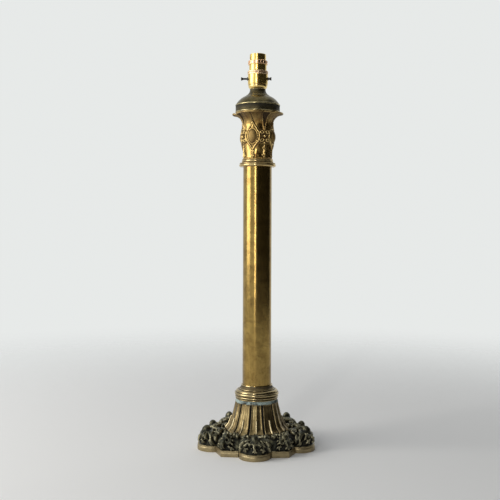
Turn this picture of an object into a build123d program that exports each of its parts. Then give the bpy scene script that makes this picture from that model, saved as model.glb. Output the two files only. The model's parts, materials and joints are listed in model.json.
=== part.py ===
from build123d import *
import os
from math import cos, radians, sin

# Column table lamp: a five-lobed cast foot, a tube column, a leaf capital, a domed cap and a bayonet
# lampholder, stacked on one hollow threaded rod. Millimetres, +Z up. The origin is on the column's axis,
# on the surface that the foot stands on. One lobe of the foot points along -Y, the lamp's front.

os.makedirs("parts", exist_ok=True)

# Clearances
slip_gap = 0.1  # radial gap of a ring, disc or moulding that slips into its neighbour
thread_gap = 0.05  # radial gap that stands for a thread
running_gap = 0.06  # radial gap round a piece that slides or turns

# Foot casting: the plan
turned_radius = 74.0  # the round body behind lobes and corners
lobe_count = 5
lobe_start_angle = 270.0  # the first lobe points to the front
lobe_radius = 24.0
lobe_setback = 3.9  # from the round body's edge in to a lobe's axis
corner_projection = 12.5  # from the round body's edge out to the point between two lobes
corner_half_angle = 58.0
facet_length = 26.2
rim_height = 9.0
lobe_rise = 12.0

# Foot casting: the section
foot_height = 74.0
foot_neck_radius = 32.0
foot_neck_height = 4.5
skirt_top_radius = 33.4
skirt_middle_radius = 37.0
skirt_middle_height = 53.8
skirt_foot_radius = 43.4
skirt_foot_height = 34.6
border_top_radius = 54.0
border_top_height = 25.5
border_foot_height = 12.0
foot_wall = 4.0
foot_web = 8.0
flute_count = 15
flute_groove_width = 1.6
flute_groove_depth = 1.6
flute_rib_width = 1.3
flute_rib_height = 0.7
flute_rib_top = 46.0
flute_foot_height = 27.0
bud_radius = 8.0
bud_rise = 4.5
bud_top_radius = 1.2
petal_count = 8
petal_radius = 4.0
petal_ring_radius = 9.5
petal_height = 19.6

# Lead inlet in the back of the foot
bush_bore_radius = 2.75
bush_wall = 0.75
bush_flange_width = 1.3
bush_flange_thickness = 1.2
bush_length = 7.5
bush_height = 4.7

# Tie rod and its fasteners
rod_radius = 5.0
rod_bore_radius = 3.5
rod_tail = 5.0  # thread that stands out of the lowest nut
nut_across_flats = 14.0
nut_height = 5.0
washer_thickness = 2.0
foot_washer_radius = 22.0
column_washer_radius = 15.0

# Column
column_radius = 22.5
column_wall = 1.5
column_length = 362.0
plug_thickness = 4.0
seat_width = 2.5  # how far each ring's inner shoulder reaches in under the tube

# Collar at the foot of the column
collar_height = 22.0
collar_floor = 4.0
collar_radius = 34.7
collar_plinth_height = 1.5
collar_plinth_setback = 1.6  # each setback is in from the collar's radius
collar_groove_height = 2.0
collar_groove_setback = 2.2
collar_fillet_foot = 2.4
collar_fillet_top = 4.0
collar_fillet_setback = 0.8
collar_torus_foot = 4.4
collar_torus_setback = 1.5
collar_torus_middle = 7.8
collar_torus_top = 14.1
collar_shelf = 3.0
collar_neck_radius = 27.0
collar_step_top = 15.7
collar_cove_height = 18.0
collar_cove_depth = 2.3
collar_top_wall = 0.8

# Ring at the head of the column
ring_radius = 28.9
ring_drop = 3.5  # how far it reaches down over the tube
ring_bead_height = 6.3
ring_height = 11.5
ring_top_radius = 24.4

# Capital
capital_height = 73.5
capital_foot_radius = 24.2
capital_neck_radius = 22.9
capital_belly_radius = 25.3
capital_belly_height = 33.0
capital_bell_radius = 23.4
capital_bell_height = 52.0
capital_wall = 3.2
capital_web = 4.0
abacus_radius = 34.4
abacus_thickness = 2.5
abacus_hole_radius = 26.0
leaf_count = 4
leaf_start_angle = -17.0
leaf_half_width = 17.0
leaf_span = 45.0  # to each side of its middle, before its outline is cut
leaf_shoulder_distance = 31.0
leaf_tip_distance = 41.0
leaf_foot_height = 16.0
leaf_bend_height = 52.0  # where the leaf leaves the bell
leaf_drop = 2.5  # tip's underside below the abacus's top
leaf_outer_radius = 25.8
leaf_thickness = 2.2
cabochon_half_width = 7.9
cabochon_half_height = 11.5
cabochon_end_radius = 3.0
cabochon_distance = 21.0
cabochon_height = 35.0

# Domed cap
dome_height = 37.7
dome_radius = 35.3
dome_skirt_height = 11.5
dome_step_height = 27.0
dome_step_radius = 18.6
dome_neck_radius = 12.3
dome_cavity_radius = 30.0
dome_cavity_height = 12.0
dome_roof = 3.0
neck_cavity_radius = 9.6

# Lampholder: outer metal pieces
holder_cap_height = 7.1
holder_cap_foot_radius = 12.6
holder_cap_radius = 15.4
holder_floor = 1.5
holder_entry_radius = 7.5
body_radius = 15.7
body_wall = 1.8
body_height = 14.9
body_thread_radius = 14.9
body_thread_height = 3.3
barrel_height = 29.0
barrel_flange_radius = 14.8
barrel_flange_thickness = 1.5
barrel_radius = 13.7
barrel_step_height = 16.5
barrel_top_radius = 12.75
socket_radius = 11.25
socket_length = 12.0
socket_relief_radius = 11.9
slot_width = 2.6
slot_depth = 8.5
slot_turn = 5.0
slot_hook = 1.4
lock_ring_radius = 16.0
lock_ring_lip = 1.5
shade_ring_rise = 9.5
shade_ring_height = 6.0
shade_ring_radius = 15.3
shade_ring_notches = 20
shade_ring_notch_radius = 0.6

# Lampholder: insulators, contacts and switch
wiring_radius = 9.0
wiring_height = 5.0
tower_flange = 3.0
tower_top_height = 13.0
contact_offset = 5.25
plunger_radius = 1.8
plunger_collar_radius = 2.3
plunger_collar_height = 2.0
plunger_projection = 3.3
plunger_guide_length = 4.5
spring_radius = 2.1
spring_wire = 0.5
terminal_radius = 2.8
screw_radius = 1.15
screw_depth = 3.0
screw_head_radius = 1.9
screw_head_height = 1.6
bar_height = 9.1
bar_radius = 1.5
bar_left_end = 26.4
bar_right_end = 21.4
bar_travel = 5.0
knob_radius = 2.9
knob_length = 3.4
bar_bush_wall = 0.8
bar_bush_flange_radius = 3.0
bar_bush_flange = 1.2
bridge_radius = 2.1
bridge_length = 3.0
bridge_gap = 0.5

# Heights that follow from the sizes above
tube_foot = foot_height + collar_floor
tube_head = tube_foot + column_length
ring_foot = tube_head - ring_drop
capital_foot = ring_foot + ring_height
capital_top = capital_foot + capital_height
dome_top = capital_top + dome_height
body_foot = dome_top + holder_cap_height
lock_ring_foot = body_foot + body_height
barrel_foot = lock_ring_foot + body_thread_height
lock_ring_top = barrel_foot + barrel_flange_thickness + lock_ring_lip
barrel_top = barrel_foot + barrel_height
barrel_step = barrel_foot + barrel_step_height
socket_foot = barrel_top - socket_length
tower_foot = barrel_foot - tower_flange
tower_top = barrel_foot + tower_top_height
bar_z = body_foot + bar_height
web_underside = foot_height - foot_web
foot_nut_z = web_underside - washer_thickness - nut_height
rod_foot = foot_nut_z - rod_tail
rod_top = body_foot + holder_floor / 2
column_bore = column_radius - column_wall
rod_hole = rod_radius + slip_gap
thread_hole = rod_radius + thread_gap
body_bore = body_radius - body_wall
insulator_radius = body_bore - slip_gap
plunger_top = tower_top + plunger_projection
plunger_collar_top = tower_top - plunger_guide_length
plunger_foot = plunger_collar_top - plunger_collar_height
quarter_turn = 90


def polar(distance, angle):
    """A point at this distance and angle round the lamp's axis."""
    return (distance * cos(radians(angle)), distance * sin(radians(angle)))


def upright(distance, angle):
    """A plane on end through the lamp's axis: its x runs outwards at this angle, its y runs up."""
    outwards = polar(1, angle)
    return Plane(
        origin=(*polar(distance, angle), 0),
        x_dir=(*outwards, 0),
        z_dir=(outwards[1], -outwards[0], 0),
    )


def finish(piece, name):
    """Label a finished piece and write it."""
    piece.part.label = name
    export_step(piece.part, f"parts/{name}.step")


def ring(outer, inner, foot, top):
    """A plain ring, washer, disc or sleeve between two heights."""
    with BuildPart() as piece:
        with BuildSketch(Plane.XY.offset(foot)):
            Circle(outer)
            Circle(inner, mode=Mode.SUBTRACT)
        extrude(amount=top - foot)
    return piece


def hex_nut(foot, bore):
    """A chamfered hexagon nut that stands on this height."""
    with BuildPart() as piece:
        with BuildSketch(Plane.XY.offset(foot)):
            RegularPolygon(nut_across_flats / 2, 6, major_radius=False)
        extrude(amount=nut_height)
        with BuildSketch(Plane.XY.offset(foot)):
            Circle(bore)
        extrude(amount=nut_height, mode=Mode.SUBTRACT)
        with BuildSketch(Plane.XZ):
            corner = nut_across_flats / 2 * 1.1547
            with Locations((corner, foot + nut_height)):
                Rectangle(2 * (corner - nut_across_flats / 2), 0.8, rotation=-30)
        revolve(axis=Axis.Z, mode=Mode.SUBTRACT)
    return piece


# Foot casting

lobe_centre_distance = turned_radius - lobe_setback
corner_distance = turned_radius + corner_projection
lobe_pitch = 360 / lobe_count
lobe_angles = [lobe_start_angle + lobe_pitch * i for i in range(lobe_count)]
corner_angles = [angle + lobe_pitch / 2 for angle in lobe_angles]
below_floor = 3 * foot_wall


def foot_section(inset, top):
    """Half section of the foot's round body, from the axis out, shrunk by inset and cut off at top."""
    with BuildSketch() as section:
        with BuildLine():
            skirt = ThreePointArc(
                (skirt_top_radius, foot_height - foot_neck_height),
                (skirt_middle_radius, skirt_middle_height),
                (skirt_foot_radius, skirt_foot_height),
            )
            flare = TangentArc(skirt @ 1, (border_top_radius, border_top_height), tangent=skirt % 1)
            Polyline(
                flare @ 1,
                (turned_radius, border_foot_height),
                (turned_radius, -below_floor),
                (-below_floor, -below_floor),
                (-below_floor, foot_height + below_floor),
                (foot_neck_radius, foot_height + below_floor),
                (foot_neck_radius, foot_height - foot_neck_height),
                skirt @ 0,
            )
        make_face()
        if inset:
            offset(amount=-inset, kind=Kind.INTERSECTION)
        with Locations((0, top)):
            Rectangle(turned_radius + 3, top, align=(Align.MIN, Align.MAX), mode=Mode.INTERSECT)
    return section.sketch_local


def corner_outline(inset, tip_distance, side_length):
    """Plan of one pointed corner, from the round body out to its point along +X."""
    tip = tip_distance - inset / sin(radians(corner_half_angle))
    side = side_length - inset
    half = radians(corner_half_angle)
    return [
        (tip, 0),
        (tip - side * cos(half), side * sin(half)),
        (tip - 2 * side * cos(half), 0),
        (tip - side * cos(half), -side * sin(half)),
    ]


def foot_form(inset, top):
    """The foot's solid form, shrunk by inset: round body, lobes and corners in one."""
    with BuildPart() as form:
        with BuildSketch(Plane.XZ):
            add(foot_section(inset, top))
        revolve(axis=Axis.Z)
        for angle in lobe_angles:
            radius = lobe_radius - inset
            shoulder = rim_height - inset / 2
            crown = rim_height + lobe_rise - inset
            with BuildSketch(upright(lobe_centre_distance, angle)):
                with BuildLine():
                    dome = ThreePointArc(
                        (radius, shoulder),
                        (radius * 0.7, shoulder + (crown - shoulder) * 0.6),
                        (bud_radius / 3, crown),
                    )
                    Polyline(dome @ 1, (0, crown), (0, 0), (radius, 0), dome @ 0)
                make_face()
            revolve(axis=Axis((*polar(lobe_centre_distance, angle), 0), (0, 0, 1)))
        for angle in corner_angles:
            low = corner_outline(inset, corner_distance, facet_length)
            high = corner_outline(inset, border_top_radius, facet_length / 2)
            with BuildSketch(Plane.XY.rotated((0, 0, angle))):
                Polygon(*low, align=None)
            extrude(amount=rim_height - inset / 2)
            with BuildSketch(Plane.XY.offset(rim_height - inset / 2).rotated((0, 0, angle))):
                Polygon(*low, align=None)
            with BuildSketch(Plane.XY.offset(border_top_height - inset).rotated((0, 0, angle))):
                Polygon(*high, align=None)
            loft(ruled=True)
    return form


bush_corner = corner_angles[2]
bush_normal = bush_corner - (quarter_turn - corner_half_angle)
facet_distance = corner_distance * sin(radians(corner_half_angle))
facet_middle = [
    corner_distance - facet_length / 2 * cos(radians(corner_half_angle)),
    -facet_length / 2 * sin(radians(corner_half_angle)),
]
bush_across = bush_corner - quarter_turn
bush_place = Vector(*polar(facet_middle[0], bush_corner)) + Vector(*polar(-facet_middle[1], bush_across))
bush_plane = Plane(
    origin=(bush_place.X, bush_place.Y, bush_height),
    x_dir=(0, 0, 1),
    z_dir=(*polar(1, bush_normal), 0),
)
bush_radius = bush_bore_radius + bush_wall

flute_pitch = 360 / flute_count
rib_angles = [lobe_start_angle + flute_pitch * i for i in range(flute_count)]
groove_angles = [angle + flute_pitch / 2 for angle in rib_angles]
groove_band = foot_section(0, foot_height) - foot_section(flute_groove_depth, foot_height)
rib_band = foot_section(-flute_rib_height, foot_height) - foot_section(flute_groove_depth / 2, foot_height)

foot_hollow = foot_form(foot_wall, web_underside)
with BuildPart() as base_casting:
    add(foot_form(0, foot_height).part)
    for angle in lobe_angles:
        centre = polar(lobe_centre_distance, angle)
        crown = rim_height + lobe_rise
        with BuildSketch(Plane.XY.offset(rim_height)):
            with Locations(centre):
                Circle(petal_ring_radius)
                with PolarLocations(petal_ring_radius, petal_count):
                    Circle(petal_radius)
        extrude(amount=petal_height - rim_height)
        with BuildSketch(upright(lobe_centre_distance, angle)):
            with BuildLine():
                bud = ThreePointArc(
                    (bud_radius, crown - 2),
                    (bud_radius * 0.7, crown + bud_rise * 0.6),
                    (bud_top_radius, crown + bud_rise),
                )
                Polyline(
                    bud @ 1, (0, crown + bud_rise), (0, rim_height), (bud_radius, rim_height), bud @ 0
                )
            make_face()
        revolve(axis=Axis((*centre, 0), (0, 0, 1)))
    with BuildSketch(*[upright(0, angle) for angle in groove_angles]):
        add(groove_band)
        with Locations((foot_neck_radius - 2, flute_foot_height)):
            Rectangle(
                border_top_radius,
                foot_height - foot_neck_height - flute_foot_height,
                align=(Align.MIN, Align.MIN),
                mode=Mode.INTERSECT,
            )
    extrude(amount=flute_groove_width / 2, both=True, mode=Mode.SUBTRACT)
    with BuildSketch(*[upright(0, angle) for angle in rib_angles]):
        add(rib_band)
        with Locations((foot_neck_radius, flute_foot_height)):
            Rectangle(
                border_top_radius,
                flute_rib_top - flute_foot_height,
                align=(Align.MIN, Align.MIN),
                mode=Mode.INTERSECT,
            )
    extrude(amount=flute_rib_width / 2, both=True)
    add(foot_hollow.part, mode=Mode.SUBTRACT)
    with BuildSketch(Plane.XY.offset(web_underside)):
        Circle(rod_hole)
    extrude(amount=foot_web, mode=Mode.SUBTRACT)
    with BuildSketch(bush_plane):
        Circle(bush_radius + slip_gap)
    extrude(amount=-2 * bush_length, mode=Mode.SUBTRACT)
finish(base_casting, "base_casting")

with BuildPart() as cable_bush:
    with BuildSketch(bush_plane):
        Circle(bush_radius + bush_flange_width - bush_wall)
    extrude(amount=bush_flange_thickness)
    with BuildSketch(bush_plane):
        Circle(bush_radius)
    extrude(amount=bush_flange_thickness - bush_length)
    with BuildSketch(bush_plane.offset(bush_flange_thickness)):
        Circle(bush_bore_radius)
    extrude(amount=-bush_length, mode=Mode.SUBTRACT)
finish(cable_bush, "cable_bush")

# Rod and fasteners inside the foot

with BuildPart() as tie_rod:
    with BuildSketch(Plane.XY.offset(rod_foot)):
        Circle(rod_radius)
        Circle(rod_bore_radius, mode=Mode.SUBTRACT)
    extrude(amount=rod_top - rod_foot)
    chamfer(tie_rod.edges().filter_by(GeomType.CIRCLE).group_by(SortBy.RADIUS)[-1], 0.5)
finish(tie_rod, "tie_rod")

bottom_washer = ring(foot_washer_radius, rod_hole, web_underside - washer_thickness, web_underside)
finish(bottom_washer, "bottom_washer")
bottom_nut = hex_nut(foot_nut_z, thread_hole)
finish(bottom_nut, "bottom_nut")

# Collar, tube, centring plugs and ring of the column

ring_bore = column_radius + slip_gap
shoulder_bore = column_radius - seat_width

with BuildPart() as base_collar:
    with BuildSketch(Plane.XZ):
        with BuildLine():
            top = foot_height + collar_height
            Polyline(
                (shoulder_bore, foot_height),
                (collar_radius - collar_plinth_setback, foot_height),
                (collar_radius - collar_plinth_setback, foot_height + collar_plinth_height),
                (collar_radius - collar_groove_setback, foot_height + collar_groove_height),
                (collar_radius - collar_fillet_setback, foot_height + collar_fillet_foot),
                (collar_radius - collar_fillet_setback, foot_height + collar_fillet_top),
                (collar_radius - collar_torus_setback, foot_height + collar_torus_foot),
            )
            torus = ThreePointArc(
                (collar_radius - collar_torus_setback, foot_height + collar_torus_foot),
                (collar_radius, foot_height + collar_torus_middle),
                (collar_neck_radius + collar_shelf, foot_height + collar_torus_top),
            )
            step = Polyline(
                torus @ 1,
                (collar_neck_radius, foot_height + collar_torus_top),
                (collar_neck_radius, foot_height + collar_step_top),
            )
            cove = ThreePointArc(
                step @ 1,
                (collar_neck_radius - collar_cove_depth, foot_height + collar_cove_height),
                (ring_bore + collar_top_wall, top),
            )
            Polyline(
                cove @ 1,
                (ring_bore, top),
                (ring_bore, tube_foot),
                (shoulder_bore, tube_foot),
                (shoulder_bore, foot_height),
            )
        make_face()
    revolve(axis=Axis.Z)
finish(base_collar, "base_collar")

column_tube = ring(column_radius, column_bore, tube_foot, tube_head)
finish(column_tube, "column_tube")
tube_plug_lower = ring(column_bore - slip_gap, rod_hole, tube_foot, tube_foot + plug_thickness)
finish(tube_plug_lower, "tube_plug_lower")
tube_plug_upper = ring(column_bore - slip_gap, rod_hole, tube_head - plug_thickness, tube_head)
finish(tube_plug_upper, "tube_plug_upper")

with BuildPart() as column_top_ring:
    with BuildSketch(Plane.XZ):
        with BuildLine():
            bead = ThreePointArc(
                (ring_radius - 1.8, ring_foot),
                (ring_radius, ring_foot + ring_bead_height / 2),
                (ring_radius - 1.8, ring_foot + ring_bead_height),
            )
            fillet_edge = ThreePointArc(
                (ring_top_radius - 0.6, ring_foot + ring_bead_height),
                (ring_top_radius + 0.4, (ring_foot + ring_bead_height + capital_foot) / 2),
                (ring_top_radius - 0.6, capital_foot),
            )
            Line(bead @ 1, fillet_edge @ 0)
            Polyline(
                fillet_edge @ 1,
                (shoulder_bore, capital_foot),
                (shoulder_bore, tube_head),
                (ring_bore, tube_head),
                (ring_bore, ring_foot),
                bead @ 0,
            )
        make_face()
    revolve(axis=Axis.Z)
finish(column_top_ring, "column_top_ring")

# Capital: a bell with four broad leaves that curl out at the top, each with an oval boss

leaf_angles = [leaf_start_angle + 360 / leaf_count * i for i in range(leaf_count)]
leaf_bend = capital_foot + leaf_bend_height
leaf_tip_z = capital_top - leaf_drop

with BuildPart() as leaf:
    with BuildSketch(upright(0, -leaf_span)):
        with BuildLine():
            outer = Line((leaf_outer_radius, capital_foot + leaf_foot_height), (leaf_outer_radius, leaf_bend))
            curl = TangentArc(outer @ 1, (leaf_tip_distance, leaf_tip_z), tangent=(0, 1))
            inner_curl = TangentArc(
                (leaf_outer_radius - leaf_thickness, leaf_bend),
                (leaf_tip_distance, leaf_tip_z + leaf_thickness * 0.98),
                tangent=(0, 1),
            )
            Line(curl @ 1, inner_curl @ 1)
            Polyline(
                inner_curl @ 0,
                (leaf_outer_radius - leaf_thickness, capital_foot + leaf_foot_height),
                outer @ 0,
            )
        make_face()
    revolve(axis=Axis.Z, revolution_arc=2 * leaf_span)
    with BuildSketch(Plane.XY.offset(capital_foot)):
        with BuildLine():
            tip = ThreePointArc(
                (leaf_shoulder_distance, -leaf_half_width),
                (leaf_tip_distance, 0),
                (leaf_shoulder_distance, leaf_half_width),
            )
            Polyline(tip @ 1, (0, leaf_half_width), (0, -leaf_half_width), tip @ 0)
        make_face()
    extrude(amount=2 * capital_height, mode=Mode.INTERSECT)

with BuildPart() as capital:
    with BuildSketch(Plane.XZ):
        with BuildLine():
            belly_z = capital_foot + capital_belly_height
            bell_z = capital_foot + capital_bell_height
            foot_bead = Line((capital_foot_radius, capital_foot), (capital_foot_radius, capital_foot + 2))
            neck = ThreePointArc(
                foot_bead @ 1,
                (capital_neck_radius, capital_foot + 8),
                (capital_neck_radius + 0.7, capital_foot + 16),
            )
            belly = ThreePointArc(neck @ 1, (capital_belly_radius, belly_z), (capital_bell_radius, bell_z))
            flare = ThreePointArc(
                belly @ 1,
                (capital_bell_radius + 1.6, bell_z + 11),
                (abacus_radius - 3, capital_top - abacus_thickness),
            )
            Polyline(
                flare @ 1,
                (abacus_radius, capital_top - abacus_thickness),
                (abacus_radius, capital_top),
                (0, capital_top),
                (0, capital_foot),
                foot_bead @ 0,
            )
        make_face()
    revolve(axis=Axis.Z)
    with PolarLocations(0, leaf_count, start_angle=leaf_start_angle):
        add(leaf.part)
    for angle in leaf_angles:
        middle = capital_foot + cabochon_height
        with BuildSketch(upright(cabochon_distance, angle)):
            with BuildLine():
                oval = ThreePointArc(
                    (cabochon_end_radius, middle - cabochon_half_height),
                    (cabochon_half_width, middle),
                    (cabochon_end_radius, middle + cabochon_half_height),
                )
                Polyline(
                    oval @ 1,
                    (0, middle + cabochon_half_height),
                    (0, middle - cabochon_half_height),
                    oval @ 0,
                )
            make_face()
        revolve(axis=Axis((*polar(cabochon_distance, angle), 0), (0, 0, 1)))
    with BuildSketch(Plane.XZ):
        cavity_radius = capital_neck_radius - capital_wall
        with BuildLine():
            Polyline(
                (0, capital_foot + capital_web),
                (cavity_radius, capital_foot + capital_web),
                (cavity_radius, bell_z),
                (abacus_hole_radius, capital_top - abacus_thickness),
                (abacus_hole_radius, capital_top),
                (0, capital_top),
                close=True,
            )
        make_face()
    revolve(axis=Axis.Z, mode=Mode.SUBTRACT)
    with BuildSketch(Plane.XY.offset(capital_foot)):
        Circle(rod_hole)
    extrude(amount=capital_web, mode=Mode.SUBTRACT)
finish(capital, "capital")

column_washer_z = capital_foot + capital_web
column_washer = ring(column_washer_radius, rod_hole, column_washer_z, column_washer_z + washer_thickness)
finish(column_washer, "column_washer")
column_nut = hex_nut(column_washer_z + washer_thickness, thread_hole)
finish(column_nut, "column_nut")

# Domed cap and the nut under its roof

with BuildPart() as dome_cap:
    with BuildSketch(Plane.XZ):
        with BuildLine():
            skirt_z = capital_top + dome_skirt_height
            step_z = capital_top + dome_step_height
            skirt = ThreePointArc(
                (dome_radius - 0.3, capital_top),
                (dome_radius, capital_top + dome_skirt_height / 2),
                (dome_radius - 0.4, skirt_z),
            )
            bead = Polyline(
                skirt @ 1,
                (dome_radius - 0.1, skirt_z + 1.2),
                (dome_radius - 0.9, skirt_z + 2.2),
                (dome_radius - 1.6, skirt_z + 2.4),
            )
            dome = ThreePointArc(
                bead @ 1,
                (dome_radius - 7.7, skirt_z + 8.2),
                (dome_step_radius, step_z),
            )
            step = Line(dome @ 1, (dome_step_radius - 1.6, step_z + 0.8))
            neck = ThreePointArc(
                step @ 1,
                (dome_neck_radius + 1.1, step_z + 5),
                (dome_neck_radius, dome_top),
            )
            Polyline(neck @ 1, (0, dome_top), (0, capital_top), skirt @ 0)
        make_face()
    revolve(axis=Axis.Z)
    with BuildSketch(Plane.XZ):
        with BuildLine():
            cavity = ThreePointArc(
                (dome_cavity_radius, capital_top + dome_cavity_height),
                (dome_cavity_radius - 7.5, capital_top + dome_cavity_height + 7.5),
                (neck_cavity_radius, step_z),
            )
            Polyline(
                cavity @ 1,
                (neck_cavity_radius, dome_top - dome_roof),
                (0, dome_top - dome_roof),
                (0, capital_top),
                (dome_cavity_radius, capital_top),
                cavity @ 0,
            )
        make_face()
    revolve(axis=Axis.Z, mode=Mode.SUBTRACT)
    with BuildSketch(Plane.XY.offset(dome_top)):
        Circle(rod_hole)
    extrude(amount=-dome_roof, mode=Mode.SUBTRACT)
finish(dome_cap, "dome_cap")

neck_nut = hex_nut(dome_top - dome_roof - nut_height, thread_hole)
finish(neck_nut, "neck_nut")

# Lampholder, metal pieces

with BuildPart() as holder_cap:
    with BuildSketch(Plane.XZ):
        with BuildLine():
            groove_z = body_foot - 1.6
            lip_z = body_foot - 0.9
            bowl = ThreePointArc(
                (holder_cap_foot_radius, dome_top),
                (holder_cap_radius - 1.1, dome_top + 2.2),
                (holder_cap_radius - 0.4, groove_z),
            )
            Polyline(
                bowl @ 1,
                (holder_cap_radius - 0.8, groove_z + 0.35),
                (holder_cap_radius, lip_z),
                (holder_cap_radius, body_foot),
                (body_bore - 0.5, body_foot),
                (body_bore - 0.5, lip_z),
                (holder_cap_foot_radius - 1.2, dome_top + holder_floor),
                (holder_entry_radius, dome_top + holder_floor),
                (holder_entry_radius, body_foot - 0.4),
                (thread_hole, body_foot - 0.4),
                (thread_hole, dome_top),
                bowl @ 0,
            )
        make_face()
    revolve(axis=Axis.Z)
finish(holder_cap, "holder_cap")

bar_bush_radius = bar_radius + running_gap + bar_bush_wall

with BuildPart() as holder_body:
    with BuildSketch(Plane.XZ):
        with BuildLine():
            Polyline(
                (body_bore, body_foot),
                (body_radius - 0.5, body_foot),
                (body_radius, body_foot + 0.5),
                (body_radius, lock_ring_foot),
                (body_thread_radius, lock_ring_foot),
                (body_thread_radius, barrel_foot),
                (body_bore, barrel_foot),
                close=True,
            )
        make_face()
    revolve(axis=Axis.Z)
    with BuildSketch(Plane.YZ.offset(-body_radius - 1)):
        with Locations((0, bar_z)):
            Circle(bar_bush_radius + slip_gap)
    extrude(amount=2 * body_radius + 2, mode=Mode.SUBTRACT)
finish(holder_body, "holder_body")

with BuildPart() as barrel_ring:
    with BuildSketch(Plane.XZ):
        with BuildLine():
            ring_bead = (lock_ring_top - lock_ring_foot - 0.3) / 2
            lower = ThreePointArc(
                (lock_ring_radius - 0.5, lock_ring_foot),
                (lock_ring_radius, lock_ring_foot + ring_bead / 2),
                (lock_ring_radius - 0.5, lock_ring_foot + ring_bead),
            )
            upper = ThreePointArc(
                lower @ 1,
                (lock_ring_radius, lock_ring_foot + 1.5 * ring_bead),
                (lock_ring_radius - 0.5, lock_ring_foot + 2 * ring_bead),
            )
            Polyline(
                upper @ 1,
                (lock_ring_radius - 0.8, lock_ring_top),
                (barrel_radius + slip_gap, lock_ring_top),
                (barrel_radius + slip_gap, lock_ring_top - lock_ring_lip),
                (body_thread_radius + slip_gap, lock_ring_top - lock_ring_lip),
                (body_thread_radius + slip_gap, lock_ring_foot),
                lower @ 0,
            )
        make_face()
    revolve(axis=Axis.Z)
finish(barrel_ring, "barrel_ring")

with BuildPart() as holder_barrel:
    with BuildSketch(Plane.XZ):
        with BuildLine():
            Polyline(
                (socket_relief_radius, barrel_foot),
                (barrel_flange_radius, barrel_foot),
                (barrel_flange_radius, barrel_foot + barrel_flange_thickness),
                (barrel_radius, barrel_foot + barrel_flange_thickness),
                (barrel_radius, barrel_step),
                (barrel_top_radius, barrel_step + 0.5),
                (barrel_top_radius, barrel_top - 0.4),
                (barrel_top_radius - 0.4, barrel_top),
                (socket_radius, barrel_top),
                (socket_radius, socket_foot),
                (socket_relief_radius, socket_foot),
                close=True,
            )
        make_face()
    revolve(axis=Axis.Z)
    for angle in (0, 180):
        slot_plane = Plane(
            origin=(*polar(socket_relief_radius - 2, angle), barrel_top),
            x_dir=(*polar(1, angle + quarter_turn), 0),
            z_dir=(*polar(1, angle), 0),
        )
        leg_foot = -slot_depth
        with BuildSketch(slot_plane):
            Polygon(
                (-slot_width / 2, 1),
                (-slot_width / 2, leg_foot),
                (slot_width / 2 + slot_turn, leg_foot),
                (slot_width / 2 + slot_turn, leg_foot + slot_width + slot_hook),
                (slot_turn - slot_width / 2, leg_foot + slot_width + slot_hook),
                (slot_turn - slot_width / 2, leg_foot + slot_width),
                (slot_width / 2, leg_foot + slot_width),
                (slot_width / 2, 1),
                align=None,
            )
        extrude(amount=barrel_radius, mode=Mode.SUBTRACT)
finish(holder_barrel, "holder_barrel")

shade_ring_foot = lock_ring_top + shade_ring_rise
with BuildPart() as shade_ring:
    with BuildSketch(Plane.XZ):
        with BuildLine():
            Polyline(
                (barrel_radius + running_gap, shade_ring_foot),
                (shade_ring_radius - 0.4, shade_ring_foot),
                (shade_ring_radius, shade_ring_foot + 0.5),
                (shade_ring_radius, shade_ring_foot + shade_ring_height - 0.5),
                (shade_ring_radius - 0.4, shade_ring_foot + shade_ring_height),
                (barrel_radius + running_gap, shade_ring_foot + shade_ring_height),
                close=True,
            )
        make_face()
    revolve(axis=Axis.Z)
    with BuildSketch(Plane.XY.offset(shade_ring_foot)):
        with PolarLocations(shade_ring_radius, shade_ring_notches):
            Circle(shade_ring_notch_radius)
    extrude(amount=shade_ring_height, mode=Mode.SUBTRACT)
finish(shade_ring, "shade_ring")

# Lampholder, insulators, contacts and switch

contact_spots = [(0, -contact_offset), (0, contact_offset)]
bridge_left = -bar_travel / 2 - bridge_length / 2
bridge_room = bar_travel + bridge_length + 2 * bridge_gap

with BuildPart() as insulator_base:
    with BuildSketch(Plane.XY.offset(body_foot)):
        Circle(insulator_radius)
    extrude(amount=tower_foot - body_foot)
    with BuildSketch(Plane.XY.offset(body_foot)):
        Circle(wiring_radius)
    extrude(amount=wiring_height, mode=Mode.SUBTRACT)
    with BuildSketch(Plane.XY.offset(body_foot)):
        with Locations(*contact_spots):
            Circle(terminal_radius + slip_gap)
    extrude(amount=tower_foot - body_foot, mode=Mode.SUBTRACT)
    with BuildSketch(Plane.YZ.offset(-insulator_radius - 1)):
        with Locations((0, bar_z)):
            Circle(bar_radius + running_gap)
    extrude(amount=2 * insulator_radius + 2, mode=Mode.SUBTRACT)
    with BuildSketch(Plane.XY.offset(body_foot)):
        with Locations((bridge_left - bridge_gap, 0)):
            Rectangle(bridge_room, 2 * bridge_radius + 2 * bridge_gap, align=(Align.MIN, Align.CENTER))
    extrude(amount=bar_height + bridge_radius + bridge_gap, mode=Mode.SUBTRACT)
finish(insulator_base, "insulator_base")

with BuildPart() as insulator_top:
    with BuildSketch(Plane.XY.offset(tower_foot)):
        Circle(insulator_radius)
    extrude(amount=tower_flange)
    with BuildSketch(Plane.XY.offset(barrel_foot)):
        Circle(socket_relief_radius - slip_gap)
    extrude(amount=tower_top_height)
    with BuildSketch(Plane.XY.offset(tower_foot)):
        with Locations(*contact_spots):
            Circle(plunger_collar_radius + running_gap)
    extrude(amount=plunger_collar_top - tower_foot, mode=Mode.SUBTRACT)
    with BuildSketch(Plane.XY.offset(plunger_collar_top)):
        with Locations(*contact_spots):
            Circle(plunger_radius + running_gap)
    extrude(amount=plunger_guide_length, mode=Mode.SUBTRACT)
finish(insulator_top, "insulator_top")


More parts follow.
